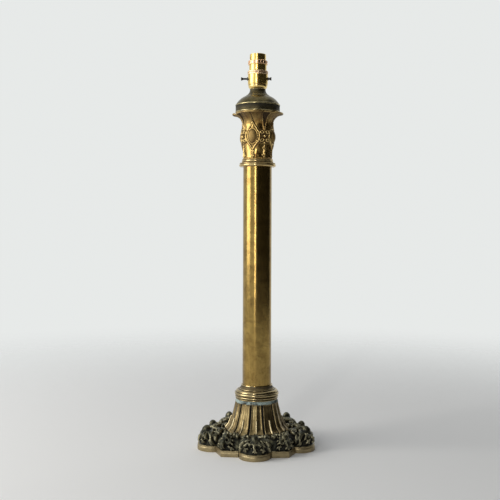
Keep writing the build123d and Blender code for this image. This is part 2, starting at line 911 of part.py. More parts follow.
def contact_plunger(spot):
    """A sprung contact pin with the collar that keeps it in the insulator."""
    with BuildPart() as piece:
        with BuildSketch(Plane.XY.offset(plunger_foot)):
            with Locations(spot):
                Circle(plunger_collar_radius)
        extrude(amount=plunger_collar_height)
        with BuildSketch(Plane.XY.offset(plunger_collar_top)):
            with Locations(spot):
                Circle(plunger_radius)
        extrude(amount=plunger_top - plunger_collar_top)
        fillet(piece.edges().group_by(Axis.Z)[-1], 0.6)
    return piece


def contact_spring(spot):
    """The spring under a contact pin, as a plain sleeve."""
    with BuildPart() as piece:
        with BuildSketch(Plane.XY.offset(tower_foot)):
            with Locations(spot):
                Circle(spring_radius)
                Circle(spring_radius - spring_wire, mode=Mode.SUBTRACT)
        extrude(amount=plunger_foot - tower_foot)
    return piece


for side, spot in zip(("front", "rear"), contact_spots):
    finish(contact_plunger(spot), f"contact_plunger_{side}")
    finish(contact_spring(spot), f"contact_spring_{side}")

terminal_foot = body_foot + wiring_height
with BuildPart() as terminal_posts:
    with BuildSketch(Plane.XY.offset(terminal_foot)):
        with Locations(*contact_spots):
            Circle(terminal_radius)
    extrude(amount=tower_foot - terminal_foot)
    with BuildSketch(Plane.XY.offset(terminal_foot)):
        with Locations(*contact_spots):
            Circle(screw_radius + thread_gap)
    extrude(amount=screw_depth, mode=Mode.SUBTRACT)
finish(terminal_posts, "terminal_posts")

with BuildPart() as terminal_screws:
    with BuildSketch(Plane.XY.offset(terminal_foot)):
        with Locations(*contact_spots):
            Circle(screw_radius)
    extrude(amount=screw_depth)
    with BuildSketch(Plane.XY.offset(terminal_foot)):
        with Locations(*contact_spots):
            Circle(screw_head_radius)
    extrude(amount=-screw_head_height)
    with BuildSketch(Plane.XY.offset(terminal_foot - screw_head_height)):
        with Locations(*contact_spots):
            Rectangle(2 * screw_head_radius, 0.5)
    extrude(amount=screw_head_height / 2, mode=Mode.SUBTRACT)
finish(terminal_screws, "terminal_screws")

with BuildPart() as bar_bushes:
    for angle in (0, 180):
        outwards = Plane(origin=(*polar(body_bore, angle), bar_z), x_dir=(0, 0, 1), z_dir=(*polar(1, angle), 0))
        with BuildSketch(outwards):
            Circle(bar_bush_radius)
        extrude(amount=body_wall + 0.02)
        with BuildSketch(outwards.offset(body_wall + 0.02)):
            Circle(bar_bush_flange_radius)
        extrude(amount=bar_bush_flange, taper=25)
        with BuildSketch(outwards):
            Circle(bar_radius + running_gap)
        extrude(amount=2 * body_wall + 2 * bar_bush_flange, mode=Mode.SUBTRACT)
finish(bar_bushes, "bar_bushes")

with BuildPart() as push_bar:
    with BuildSketch(Plane.YZ.offset(-bar_left_end)):
        with Locations((0, bar_z)):
            Circle(bar_radius)
    extrude(amount=bar_left_end + bar_right_end)
    for angle, end in ((180, bar_left_end), (0, bar_right_end)):
        knob_plane = Plane(origin=(*polar(end, angle), bar_z), x_dir=(0, 0, 1), z_dir=(*polar(1, angle), 0))
        with BuildSketch(knob_plane):
            Circle(knob_radius)
        extrude(amount=-knob_length, taper=20)
    fillet(push_bar.edges().filter_by(GeomType.CIRCLE).group_by(SortBy.RADIUS)[-1], 0.3)
finish(push_bar, "push_bar")

with BuildPart() as switch_bridge:
    with BuildSketch(Plane.YZ.offset(bridge_left)):
        with Locations((0, bar_z)):
            Circle(bridge_radius)
            Circle(bar_radius, mode=Mode.SUBTRACT)
    extrude(amount=bridge_length)
finish(switch_bridge, "switch_bridge")

print("height", round(barrel_top, 2))
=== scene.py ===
import json
import math

import bpy
import numpy as np
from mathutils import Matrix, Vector


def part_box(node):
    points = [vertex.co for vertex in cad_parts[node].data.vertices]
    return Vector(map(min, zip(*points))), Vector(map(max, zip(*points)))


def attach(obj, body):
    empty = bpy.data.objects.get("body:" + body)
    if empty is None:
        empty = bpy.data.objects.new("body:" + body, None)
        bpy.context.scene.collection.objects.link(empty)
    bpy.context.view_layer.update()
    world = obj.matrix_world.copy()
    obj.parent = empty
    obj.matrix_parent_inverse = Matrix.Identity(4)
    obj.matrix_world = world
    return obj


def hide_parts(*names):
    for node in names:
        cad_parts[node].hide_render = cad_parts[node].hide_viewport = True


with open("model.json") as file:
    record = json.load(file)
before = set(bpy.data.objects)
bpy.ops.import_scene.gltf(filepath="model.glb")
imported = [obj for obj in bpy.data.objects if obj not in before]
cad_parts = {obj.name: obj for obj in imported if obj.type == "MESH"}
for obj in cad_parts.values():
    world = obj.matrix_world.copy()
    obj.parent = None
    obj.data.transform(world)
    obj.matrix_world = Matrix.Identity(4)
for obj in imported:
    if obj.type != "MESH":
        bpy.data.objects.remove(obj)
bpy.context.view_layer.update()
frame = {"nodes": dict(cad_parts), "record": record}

# Column table lamp. Outlines and reliefs are written in millimetres and turned into metres when a mesh is
# made. The foot's reach, the pieces' levels and the inlet's place come from the boxes of the frame's nodes.

MM = 0.001


def foot_z(node):
    """The height of a node's lowest point, in millimetres."""
    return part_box(node)[0].z / MM


# Outlines -----------------------------


def arc(start, middle, end, steps=10):
    """Points of the arc through three points."""
    (ax, ay), (bx, by), (cx, cy) = start, middle, end
    d = 2 * (ax * (by - cy) + bx * (cy - ay) + cx * (ay - by))
    ux = ((ax**2 + ay**2) * (by - cy) + (bx**2 + by**2) * (cy - ay) + (cx**2 + cy**2) * (ay - by)) / d
    uy = ((ax**2 + ay**2) * (cx - bx) + (bx**2 + by**2) * (ax - cx) + (cx**2 + cy**2) * (bx - ax)) / d
    first = math.atan2(ay - uy, ax - ux)
    half = math.atan2(by - uy, bx - ux)
    last = math.atan2(cy - uy, cx - ux)
    turn = (last - first) % (2 * math.pi)
    if (half - first) % (2 * math.pi) > turn:
        turn -= 2 * math.pi
    radius = math.hypot(ax - ux, ay - uy)
    return [
        (ux + radius * math.cos(first + turn * i / steps), uy + radius * math.sin(first + turn * i / steps))
        for i in range(steps + 1)
    ]


def rounded(outline, steps=3):
    """A closed outline whose points may have a third number, the radius that rounds them off."""
    points = []
    count = len(outline)
    for i, corner in enumerate(outline):
        here = np.array(corner[:2], float)
        if len(corner) < 3:
            points.append(here)
            continue
        back = np.array(outline[i - 1][:2], float) - here
        ahead = np.array(outline[(i + 1) % count][:2], float) - here
        cut = min(corner[2], 0.45 * np.linalg.norm(back), 0.45 * np.linalg.norm(ahead))
        first = here + back / np.linalg.norm(back) * cut
        last = here + ahead / np.linalg.norm(ahead) * cut
        for t in np.linspace(0, 1, steps + 1):
            points.append((1 - t) ** 2 * first + 2 * t * (1 - t) * here + t**2 * last)
    kept = [points[0]]
    for point in points[1:]:
        if np.linalg.norm(point - kept[-1]) > 1e-4:
            kept.append(point)
    return np.array(kept)


def proudness(points, width=1.2):
    """How far each point of a closed outline stands out of (above 0) or back from its surroundings."""
    steps = np.linalg.norm(np.roll(points, -1, 0) - points, axis=1)
    along = np.concatenate([[0], np.cumsum(steps)])
    loop = np.concatenate([points, points[:1]])
    length = along[-1]

    def at(distance):
        wrapped = np.mod(distance, length)
        return np.stack([np.interp(wrapped, along, loop[:, k]) for k in (0, 1)], 1)

    before, after = at(along[:-1] - width), at(along[:-1] + width)
    chord = after - before
    normal = np.stack([chord[:, 1], -chord[:, 0]], 1)
    normal /= np.maximum(np.linalg.norm(normal, axis=1, keepdims=True), 1e-6)
    return ((points - (before + after) / 2) * normal).sum(1)


# Meshes -------------------------------

SEGMENTS = 224
SCALLOP_DEPTH = 0.35
FULL_WEAR = 0.25  # how far an edge stands out at full wear, and a corner lies back at full dirt and painted shade


def added(name, data):
    """A new object, put into the scene."""
    made = bpy.data.objects.new(name, data)
    bpy.context.scene.collection.objects.link(made)
    return made


def mesh_object(name, grid, faces, worn, dirt_and_shade, crease=60):
    """A smooth object from a grid of points in millimetres, with wear, and dirt with painted shade, from 0
    to 1 at each point.
    """
    mesh = bpy.data.meshes.new(name)
    mesh.from_pydata((grid.reshape(-1, 3) * MM).tolist(), [], faces.tolist())
    for key, values in (("worn", worn), ("dirt_and_shade", dirt_and_shade)):
        layer = mesh.attributes.new(key, "FLOAT", "POINT")
        layer.data.foreach_set("value", np.clip(values, 0, 1).astype(np.float32).ravel())
    mesh.polygons.foreach_set("use_smooth", [True] * len(mesh.polygons))
    mesh.set_sharp_from_angle(angle=math.radians(crease))
    return added(name, mesh)


def wrap_faces(grid):
    """Quads over a grid that is closed both round the axis and along its outline."""
    rings, points = grid.shape[:2]
    i, j = np.meshgrid(np.arange(rings), np.arange(points), indexing="ij")
    on, up = (i + 1) % rings, (j + 1) % points
    quads = np.stack([i * points + j, on * points + j, on * points + up, i * points + up], -1)
    return quads.reshape(-1, 4)


def spun(radii, heights, angles):
    """A grid of points round the axis: a row for each angle, a column for each outline point."""
    turn = angles[:, None]
    return np.stack(np.broadcast_arrays(radii * np.cos(turn), radii * np.sin(turn), heights), -1)


def dress(piece, material, body, slot, *nodes):
    """Gives a piece its material and its body, and hides the nodes that it stands for; the slot is not used.
    """
    piece.data.materials.clear()
    piece.data.materials.append(material)
    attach(piece, body)
    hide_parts(*nodes)


def turned(name, outline, scallops=0):
    """A piece turned about the lamp's axis from a closed outline. Scallops are shallow grip flutes round its
    widest part."""
    points = rounded(outline)
    angles = np.linspace(0, 2 * np.pi, SEGMENTS, endpoint=False)
    radii = points[:, 0]
    if scallops:
        dip = SCALLOP_DEPTH * np.clip((radii - radii.max() + 0.6) / 0.4, 0, 1)
        radii = radii - dip * (0.5 + 0.5 * np.cos(scallops * angles))[:, None]
    grid = spun(radii, points[:, 1], angles)
    # convex points count as worn; concave ones as dirt and painted shade in the creases between mouldings
    stand = np.tile(proudness(points), SEGMENTS) / FULL_WEAR
    return mesh_object(name, grid, wrap_faces(grid), stand, -stand, crease=50)


# Relief helpers -----------------------


def smoothstep(low, high, value):
    """0 at low and 1 at high, with an even S between; high may lie below low."""
    t = np.clip((value - low) / (high - low), 0, 1)
    return t * t * (3 - 2 * t)


def crowned(share, power=2):
    """A round top: 1 in the middle, falling to 0 at a share of 1; a higher power makes it fuller."""
    return np.sqrt(np.clip(1 - share**power, 0, 1))


def bezier(start, control, end, steps=10):
    """Points of a curve that bends between its ends towards the control point."""
    t = np.linspace(0, 1, steps)[:, None]
    a, b, c = (np.array(p, float) for p in (start, control, end))
    return (1 - t) ** 2 * a + 2 * t * (1 - t) * b + t**2 * c


def spiral(centre, radius, start, turn, shrink, steps=26):
    """A scroll's line: from its outer end, turning about the centre as it draws in."""
    t = np.linspace(0, 1, steps)
    angle = np.radians(start + turn * t)
    size = radius * (1 - shrink * t)
    return np.stack([centre[0] + size * np.cos(angle), centre[1] + size * np.sin(angle)], 1)


def nearest(x, y, path):
    """Distance to a path, the share of its length there, and the side (+ left, - right)."""
    best = np.full(x.shape, 1e9)
    share, side = np.zeros((2, *x.shape))
    spans = len(path) - 1
    for k in range(spans):
        (ax, ay), (bx, by) = path[k], path[k + 1]
        dx, dy = bx - ax, by - ay
        t = np.clip(((x - ax) * dx + (y - ay) * dy) / (dx * dx + dy * dy), 0, 1)
        px, py = x - ax - t * dx, y - ay - t * dy
        distance = np.hypot(px, py)
        closer = distance < best
        best = np.where(closer, distance, best)
        share = np.where(closer, (k + t) / spans, share)
        side = np.where(closer, np.sign(dx * py - dy * px), side)
    return best, share, side


NOWHERE = -50.0  # height of a motif outside its own outline


def cord_line(x, y, path, width, height, taper):
    """A round moulding along a path, thinner towards its end."""
    distance, share, _ = nearest(x, y, path)
    half = width * (1 - taper * share)
    thinned = height * (1 - 0.35 * taper * share)
    return np.where(distance < half, thinned * crowned(distance / half), NOWHERE)


def leaflet(x, y, path, width, height, vein=0.5):
    """A single pointed leaf along a path: crowned, with a channel along its middle."""
    distance, share, _ = nearest(x, y, path)
    half = width * np.sin(np.pi * np.clip(0.12 + 0.88 * share, 0, 1)) ** 0.6
    half = np.maximum(half, 0.05)
    across = np.clip(distance / half, 0, 1)
    crown = crowned(across, 2.4) * (0.72 + 0.28 * np.sin(np.pi * share))
    channel = vein * np.exp(-((distance / 0.45) ** 2)) * (share < 0.93)
    return np.where(distance < half, height * crown - channel, NOWHERE)


def acanthus(x, y, start, control, end, size, height, pairs):
    """A lobed leaf: a main leaflet with pairs of side leaflets that sweep forwards from its middle."""
    spine = bezier(start, control, end, 12)
    knots = np.linspace(0, 1, len(spine))
    relief = leaflet(x, y, spine, 0.30 * size, height, vein=0.7)
    for i in range(pairs):
        share = 0.12 + 0.62 * i / (pairs - 1)
        root, later = (
            np.array([np.interp(at, knots, spine[:, k]) for k in (0, 1)]) for at in (share, share + 0.1)
        )
        ahead = (later - root) / np.linalg.norm(later - root)
        length = size * (0.72 - 0.36 * i / pairs)
        width, crown = 0.19 * size, height * (0.88 - 0.1 * i)
        for hand in (-1, 1):
            out = np.array([-ahead[1], ahead[0]]) * hand
            tip = root + length * (0.62 * ahead + 0.80 * out)
            bend = root + length * (0.10 * ahead + 0.62 * out)
            side_leaf = leaflet(x, y, bezier(root, bend, tip, 6), width, crown, vein=0.45)
            relief = np.maximum(relief, side_leaf)
    return relief


def dome(x, y, centre, radius, height):
    """A round boss, half of an ellipsoid."""
    distance = np.hypot(x - centre[0], y - centre[1]) / radius
    return np.where(distance < 1, height * crowned(distance), NOWHERE)


def petals(x, y, centre, inner, outer, count, height, start):
    """A ring of cupped petals round a centre."""
    dx, dy = x - centre[0], y - centre[1]
    distance = np.hypot(dx, dy)
    phase = np.cos(count * (np.arctan2(dy, dx) - np.radians(start)) / 2)
    edge = outer * (0.74 + 0.26 * np.sqrt(np.abs(phase)))
    share = np.clip((distance - inner) / (edge - inner), 0, 1)
    cup = height * (0.55 + 0.45 * share) * crowned(share, 6)
    seam = 1.3 * np.exp(-((phase / 0.16) ** 2))
    vein = 0.35 * np.exp(-(((1 - np.abs(phase)) / 0.012) ** 2))
    return np.where((distance < edge) & (distance > inner * 0.6), cup - seam - vein, NOWHERE)


def blurred(field, passes):
    """A field on a grid, smoothed; its rows go round the axis, so they wrap."""
    made = field.copy()
    for _ in range(passes):
        made = (np.roll(made, 1, 0) + 2 * made + np.roll(made, -1, 0)) / 4
        padded = np.concatenate([made[:, :1], made, made[:, -1:]], 1)
        made = (padded[:, :-2] + 2 * padded[:, 1:-1] + padded[:, 2:]) / 4
    return made


def ripple(x, y, z, size, seed):
    """A smooth uneven field, mostly between -1 and 1, made of waves in several directions."""
    waves = np.random.default_rng(seed)
    total = np.zeros(np.broadcast(x, y, z).shape)
    for _ in range(14):
        direction = waves.normal(size=3)
        direction *= 2 * np.pi / (size * waves.uniform(0.6, 1.7)) / np.linalg.norm(direction)
        total += np.sin(direction[0] * x + direction[1] * y + direction[2] * z + waves.uniform(0, 6.3))
    return total / 5


# Foot casting -------------------------

FOOT_LOW, FOOT_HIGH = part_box("base_casting")
FOOT_TOP = FOOT_HIGH.z / MM
LOBES = 5
LOBE_PITCH = 360 / LOBES
LOBE_START = 270.0
LOBE_RADIUS = 24.0
LOBE_CENTRE = -FOOT_LOW.y / MM - LOBE_RADIUS
CORNER_REACH = 86.5
CORNER_HALF = math.radians(58)
CORNER_SIN, CORNER_COS = math.sin(CORNER_HALF), math.cos(CORNER_HALF)
FACET_LENGTH = 26.2
BODY_RADIUS = 74.0
RIM_TOP = 9.0
LEDGE = 1.8
BORDER_TOP = (54.0, 25.5)
SKIRT = [(43.4, 34.6), (37.0, 53.8), (33.4, 69.5)]
LOBE_SWELL = arc((22.0, 12.8), (16.5, 21.8), (7.5, 26.5), 16)
RING_FACE, RING_CROWN, RING_ROLL = 12.8, 27.5, 20.0
CORNER_FACE, CORNER_CROWN, CORNER_SETBACK = 13.0, 26.0, 13.0
NECK_RADIUS = 32.3
FLUTES = 12
FLUTE_START = 1.5
FLUTE_PITCH = 360 / FLUTES
FLUTE_FADE = (69.5, 67.8)  # heights between which the flutes fade in below the collar
GROOVE_DEPTH, GROOVE_HALF_WIDTH = 2.8, 2.0
RIB_TOP = 46.5
GROUND_DEPTH = 2.8  # how deep the ground lies between the ornament's leaves
SWAY = 1.1  # how far the ornament strays from its own mirror image
COLUMNS = 1200
PER_LOBE = COLUMNS // LOBES
FOOT_ROWS = 260
GRID_START = 46.0  # plan radius inside which the form is the skirt alone
FLAT_STEPS, FACE_STEPS = 260, 40
FACE_FOOT = RIM_TOP - 0.3
# pits between the leaves: across and out from the lobe's or the corner's middle line, and radius
LOBE_PITS = [
    (4.2, 68.6, 1.9), (9.0, 60.5, 2.0), (3.8, 90.5, 1.6), (11.0, 89.0, 1.7), (16.6, 83.0, 1.7),
    (11.6, 70.4, 2.0), (8.4, 84.4, 1.4), (3.0, 54.0, 1.4),
]
CORNER_PITS = [
    (5.0, 66.0, 2.0), (4.2, 85.0, 1.5), (10.8, 80.5, 1.7), (9.2, 70.6, 1.8), (5.6, 59.0, 1.8),
    (3.9, 77.8, 1.3),
]
# radii and heights: up the hollow's side, over its roof, up the bore, over the top and down to the flutes
NECK = [
    (50.0, 18.0), (39.6, 30.0), (36.0, 42.5), (33.0, 53.0), (30.5, 60.0), (28.3, FOOT_TOP - 9),
    (22.0, FOOT_TOP - 8), (5.1, FOOT_TOP - 8), (5.1, FOOT_TOP), (12.0, FOOT_TOP), (26.0, FOOT_TOP),
    (NECK_RADIUS - 0.4, FOOT_TOP), (NECK_RADIUS, 73.2), (NECK_RADIUS, 71.6), (32.9, 71.2), (33.3, 70.6),
    (33.2, 70.0),
]
# distances in from the foot's outline, and heights: from the ornament's edge down to the floor and under
RIM_WALL = [
    (2.3, 8.9), (1.9, 9.0), (1.4, 9.15), (0.95, 9.05), (0.55, 8.75), (0.45, 8.3), (0.55, 7.9), (0.85, 7.6),
    (0.95, 7.3), (0.75, 6.95), (0.3, 6.6), (0.05, 6.0), (0, 4.2), (0, 2.2), (0, 0.5), (0.12, 0.12), (0.5, 0),
    (3.5, 0), (4, 0.5), (4, 6.0),
]
UP = Vector((0, 0, 1))
INLET_TURN = CORNER_HALF  # square to one side of the back corner
INLET_RADIUS, INLET_SIDES = 3.6, 48
INLET_ENDS = (-5.5, 8.0)  # of the hole, inwards and outwards of the bush's middle


def foot_reach(turn, inset=0.0):
    """Plan radius of the foot's outline at an angle, in degrees from the middle of the nearest lobe."""
    off = np.radians(np.abs(turn))
    inside = (LOBE_RADIUS - inset) ** 2 - (LOBE_CENTRE * np.sin(off)) ** 2
    lobe = np.where(inside > 0, LOBE_CENTRE * np.cos(off) + np.sqrt(np.clip(inside, 0, None)), 0)
    corner_off = np.abs(np.radians(LOBE_PITCH / 2) - off)
    facet = (CORNER_REACH * CORNER_SIN - inset) / np.cos(corner_off - (math.pi / 2 - CORNER_HALF))
    end = math.atan2(FACET_LENGTH * CORNER_SIN, CORNER_REACH - FACET_LENGTH * CORNER_COS)
    corner = np.where(corner_off <= end, facet, 0)
    return np.maximum(np.maximum(lobe, corner), BODY_RADIUS - 0.4 * inset)


def corner_top(across, along):
    """Height of a corner's crown: a kite that slopes to its two outer sides and drops steeply behind."""
    low_tip = CORNER_REACH - LEDGE / CORNER_SIN
    high_tip = low_tip - CORNER_SETBACK
    outer = along * CORNER_SIN + across * CORNER_COS
    low, high = low_tip * CORNER_SIN, high_tip * CORNER_SIN
    slope = CORNER_FACE + (CORNER_CROWN - CORNER_FACE) * (low - outer) / (low - high)
    side = FACET_LENGTH - CORNER_SETBACK - LEDGE
    inner_tip = high_tip - 2 * side * CORNER_COS
    behind = (along - inner_tip) * CORNER_SIN - across * CORNER_COS
    top = np.minimum(slope, CORNER_CROWN)
    return np.where(behind > 0, top, top - 9 * smoothstep(0, -2.6, behind))


def skirt_line():
    """The skirt from the border's inner edge up to the neck, as radii and heights."""
    flare = arc(BORDER_TOP, (47.9, 29.3), SKIRT[0], 30)
    return np.array(flare + arc(*SKIRT, 60)[1:])


def foot_top(turn, radius):
    """Height of the foot's plain form, from the angle off the nearest lobe and the plan radius."""
    line = skirt_line()
    inner = np.interp(radius, line[::-1, 0], line[::-1, 1])
    bulge = np.array(arc(BORDER_TOP, (68.0, 22.0), (BODY_RADIUS, RIM_TOP), 30))
    border = np.interp(radius, bulge[:, 0], bulge[:, 1], right=RIM_TOP)
    in_from_edge = np.clip((foot_reach(turn, LEDGE) - radius) / RING_ROLL, 0, 1)
    roll = RING_FACE + (RING_CROWN - RING_FACE) * crowned(1 - in_from_edge)
    ring = roll - (RING_CROWN - BORDER_TOP[1]) * smoothstep(BORDER_TOP[0] + 9, BORDER_TOP[0] - 1, radius)
    ground = np.where(radius < BORDER_TOP[0], inner, np.maximum(border, ring))
    x = radius * np.sin(np.radians(turn))
    y = radius * np.cos(np.radians(turn))
    swell = np.array(LOBE_SWELL[::-1] + [(LOBE_RADIUS - LEDGE, RIM_TOP)])
    lobe = np.interp(np.hypot(x, y - LOBE_CENTRE), swell[:, 0], swell[:, 1], right=0)
    corner_turn = np.radians(LOBE_PITCH / 2 - np.abs(turn))
    corner = corner_top(np.abs(radius * np.sin(corner_turn)), radius * np.cos(corner_turn))
    return np.maximum(np.maximum(ground, lobe), corner)


def ornament(x, v, cx, cv):
    """Height of the leaf ornament over one lobe's sector. x and v run across and out along the lobe's middle
    line, cx and cv across and out along the corner's."""
    half, corner_half = np.abs(x), np.abs(cx)
    bud, corner_bud = (0.0, 80.5), (0.0, 74.0)
    motifs = [
        dome(x, v, bud, 7.0, 10.5),
        petals(x, v, bud, 6.0, 12.4, 6, 4.0, start=90),
        acanthus(x, v, (0, 88.0), (0, 94), (0, 101.5), 8.0, 3.4, pairs=2),
        acanthus(half, v, (6.5, 80.5), (12.0, 84), (12.5, 97.5), 9.5, 4.2, pairs=3),
        acanthus(half, v, (9.5, 73.5), (17.0, 74), (21.0, 88.0), 9.5, 4.2, pairs=3),
        cord_line(half, v, spiral((14.0, 64.0), 5.2, 200, -430, 0.74), 2.3, 4.8, 0.5),
        dome(half, v, (14.0, 63.8), 2.8, 6.0),
        acanthus(x, v, (0, 50), (0, 57), (0, 66.5), 9.0, 3.8, pairs=2),
        leaflet(half, v, bezier((3.0, 57.5), (6.5, 62.5), (7.5, 68.0)), 2.6, 3.6),
        leaflet(half, v, bezier((6.0, 54.5), (9, 52.5), (15, 55.0)), 2.4, 3.2),
        leaflet(half, v, bezier((16.5, 68.5), (20.5, 71.5), (21.0, 78.0)), 2.6, 3.0),
        dome(cx, cv, corner_bud, 5.2, 7.5),
        petals(cx, cv, corner_bud, 4.6, 9.6, 5, 3.2, start=90),
        acanthus(cx, cv, (0, 77.0), (0, 83), (0, 93.5), 9.5, 3.8, pairs=3),
        acanthus(corner_half, cv, (5.5, 73.5), (10.5, 76), (11.8, 88.5), 9.0, 4.0, pairs=3),
        cord_line(corner_half, cv, spiral((10.5, 63.0), 4.6, 150, 400, 0.75), 2.0, 4.4, 0.5),
        dome(corner_half, cv, (10.5, 63.0), 2.0, 5.2),
        acanthus(cx, cv, (0, 48), (0, 54), (0, 63.5), 8.0, 3.4, pairs=2),
        leaflet(corner_half, cv, bezier((3.0, 55.5), (7.2, 56), (11.0, 54.5)), 2.4, 3.0),
    ]
    relief = np.maximum.reduce(motifs)
    for across, out, pits in ((half, v, LOBE_PITS), (corner_half, cv, CORNER_PITS)):
        for pit_x, pit_v, radius in pits:
            share = np.hypot(across - pit_x, out - pit_v) / radius
            pit = -4.6 + 4.2 * np.clip(share, 0, 1.25) ** 3
            relief = np.where(share < 1.25, np.minimum(relief, pit), relief)
    return relief


def flute_relief(turn, radius, height):
    """Height of the flutes' grooves, hollows and middle ribs on the skirt."""
    off = np.mod(turn - FLUTE_START + FLUTE_PITCH / 2, FLUTE_PITCH) - FLUTE_PITCH / 2
    across = np.radians(off) * radius
    from_groove = np.radians(FLUTE_PITCH / 2) * radius - np.abs(across)
    groove = -GROOVE_DEPTH * np.clip(1 - from_groove / GROOVE_HALF_WIDTH, 0, 1) ** 0.6
    lip = 0.35 * np.exp(-(((from_groove - 1.9) / 0.5) ** 2))
    share = np.abs(off) / (FLUTE_PITCH / 2)
    hollow = -0.9 * np.sin(np.pi * np.clip(share, 0, 1)) ** 2
    below_tip = height < RIB_TOP - 0.5 * np.abs(across)
    rib = 1.4 * np.clip(1 - (np.abs(across) / 1.2) ** 2, 0, 1) ** 0.7 * below_tip
    return groove + lip + hollow + rib


def foot_form(turn):
    """The plain form over one lobe's sector, from the neck out to the ledge and down the outer face: radii,
    heights, and the length along it, which at the border's inner edge is that edge's own radius."""
    line = skirt_line()
    upper = line[line[:, 0] < GRID_START][::-1]
    edge = foot_reach(turn, LEDGE)[:, None]
    flat_r = GRID_START + (edge - GRID_START) * np.linspace(0, 1, FLAT_STEPS)
    flat_z = blurred(foot_top(turn[:, None], flat_r), 2)
    face_z = flat_z[:, -1:] + (FACE_FOOT - flat_z[:, -1:]) * np.linspace(0, 1, FACE_STEPS)[1:]
    face_r = np.tile(edge, (1, FACE_STEPS - 1))
    form_r = np.concatenate([np.tile(upper[:, 0], (PER_LOBE, 1)), flat_r, face_r], 1)
    form_z = np.concatenate([np.tile(upper[:, 1], (PER_LOBE, 1)), flat_z, face_z], 1)
    steps = np.hypot(np.diff(form_r, axis=1), np.diff(form_z, axis=1))
    along = np.concatenate([np.zeros((PER_LOBE, 1)), np.cumsum(steps, 1)], 1)
    r, z, v = np.empty((3, PER_LOBE, FOOT_ROWS))
    for k in range(PER_LOBE):
        places = np.linspace(0, along[k, -1], FOOT_ROWS)
        r[k] = np.interp(places, along[k], form_r[k])
        z[k] = np.interp(places, along[k], form_z[k])
        v[k] = BORDER_TOP[0] + places - np.interp(BORDER_TOP[0], form_r[k], along[k])
    return r, z, v


def swayed_ornament(turn, r, z, v):
    """The ornament over one lobe's sector, swayed a little so that its two halves differ."""
    x = r * np.sin(np.radians(turn))[:, None]
    corner_turn = np.radians(LOBE_PITCH / 2 - np.abs(turn))[:, None]
    cx = r * np.sin(corner_turn)
    lobe_v = v - (r - r * np.cos(np.radians(turn))[:, None])
    corner_v = v - (r - r * np.cos(corner_turn))
    middle = smoothstep(LOBE_PITCH / 2, LOBE_PITCH / 2 - 7, np.abs(turn))[:, None]
    sway = SWAY * middle * ripple(x, lobe_v, z, 17, 5)
    sway_out = SWAY * middle * ripple(x, lobe_v, z, 19, 6)
    return ornament(x + sway, lobe_v + sway_out, cx + sway, corner_v + sway_out)


def outward_directions(points):
    """The form's outward direction at each point of its grid, smoothed so that the relief doesn't fold."""
    down = np.gradient(points, axis=1)
    around = (np.roll(points, -1, 0) - np.roll(points, 1, 0)) / 2
    normal = np.cross(down, around)
    normal /= np.linalg.norm(normal, axis=2, keepdims=True)
    normal = np.stack([blurred(normal[..., k], 10) for k in range(3)], -1)
    return normal / np.linalg.norm(normal, axis=2, keepdims=True)


def foot_casting():
    """The foot in one skin: neck and hollow, fluted skirt and ornamented border, rim and underside."""
    turn = np.linspace(-LOBE_PITCH / 2, LOBE_PITCH / 2, PER_LOBE, endpoint=False)
    rim = foot_reach(turn)[:, None]
    r, z, v = foot_form(turn)
    motif = swayed_ornament(turn, r, z, v)
    inside = smoothstep(FACE_FOOT, RIM_TOP + 1.6, z)
    border = smoothstep(BORDER_TOP[0] - 6.5, BORDER_TOP[0] - 1.5, v)
    ground = -GROUND_DEPTH * inside * border
    motif = np.where(motif > NOWHERE / 2, motif * inside, NOWHERE)

    sector = (r, z, motif, ground, border, rim)
    r, z, motif, ground, border, rim = (np.tile(field, (LOBES, 1)) for field in sector)
    angles = np.radians(LOBE_START + np.arange(COLUMNS) * 360 / COLUMNS - LOBE_PITCH / 2)
    whole_turn = np.degrees(angles)[:, None] - LOBE_START
    flutes = flute_relief(whole_turn, r, z) * (1 - border) * smoothstep(*FLUTE_FADE, z)
    plain = flutes + ground
    relief = np.where(motif > NOWHERE / 2, np.where(motif < 0, motif, np.maximum(plain, motif)), plain)

    # the relief stands out of the form, but not past the rim nor below the ledge
    points = spun(r, z, angles)
    x, y = points[..., 0], points[..., 1]
    uneven = 0.28 * ripple(x, y, z, 9, 3) + 0.12 * ripple(x, y, z, 3.4, 4)
    relief = blurred(relief, 2) + uneven * (0.25 + 0.75 * border)
    proud = relief - blurred(relief, 34)
    crisp = relief - blurred(relief, 7)
    points = points + outward_directions(points) * relief[..., None]
    far = np.hypot(points[..., 0], points[..., 1])
    points[..., :2] *= np.minimum(1, (rim - 0.1) / far)[..., None]
    points[..., 2] = np.maximum(points[..., 2], RIM_TOP - 0.6)

    neck, wall = np.array(NECK), np.array(RIM_WALL)
    under_r = np.concatenate([rim - 4.6, np.full_like(rim, 62.0)], 1)
    parts = [
        spun(neck[:, 0], neck[:, 1], angles),
        points,
        spun(rim - wall[:, 0], wall[:, 1], angles),
        spun(under_r, np.array([8.0, 12.0]), angles),
    ]
    grid = np.concatenate(parts, 1)
    lead, tail = parts[0].shape[1], parts[2].shape[1] + parts[3].shape[1]

    def whole(field, before, after):
        return np.concatenate([np.full((COLUMNS, lead), before), field, np.full((COLUMNS, tail), after)], 1)

    # Painted shade with grime: the flute grooves, the pits and the ornament's hollows are darkened towards
    # black; the neck and hollow take 0.5, the rim and underside 0.15.
    edges = smoothstep(0.35, 0.8, flutes)
    groove_grime_and_shade = smoothstep(-1.0, -1.9, flutes)
    worn = whole(edges + np.clip(proud / 4.0, 0, 1) * 0.35 + np.clip(crisp / 0.7 - 0.25, 0, 1), 0.1, 0.35)
    dirt_and_shade = whole(groove_grime_and_shade + np.clip(-proud / 1.8, 0, 1) * 0.9 + np.clip(-crisp / 0.5, 0, 1) * 0.6, 0.5, 0.15)
    made = mesh_object("foot_casting", grid, wrap_faces(grid)[:, ::-1], worn, dirt_and_shade)
    carved = whole(border * smoothstep(RIM_TOP - 0.4, RIM_TOP + 0.4, z), 0, 0)
    made.data.attributes.new("carved", "FLOAT", "POINT").data.foreach_set("value", carved.ravel())
    return made


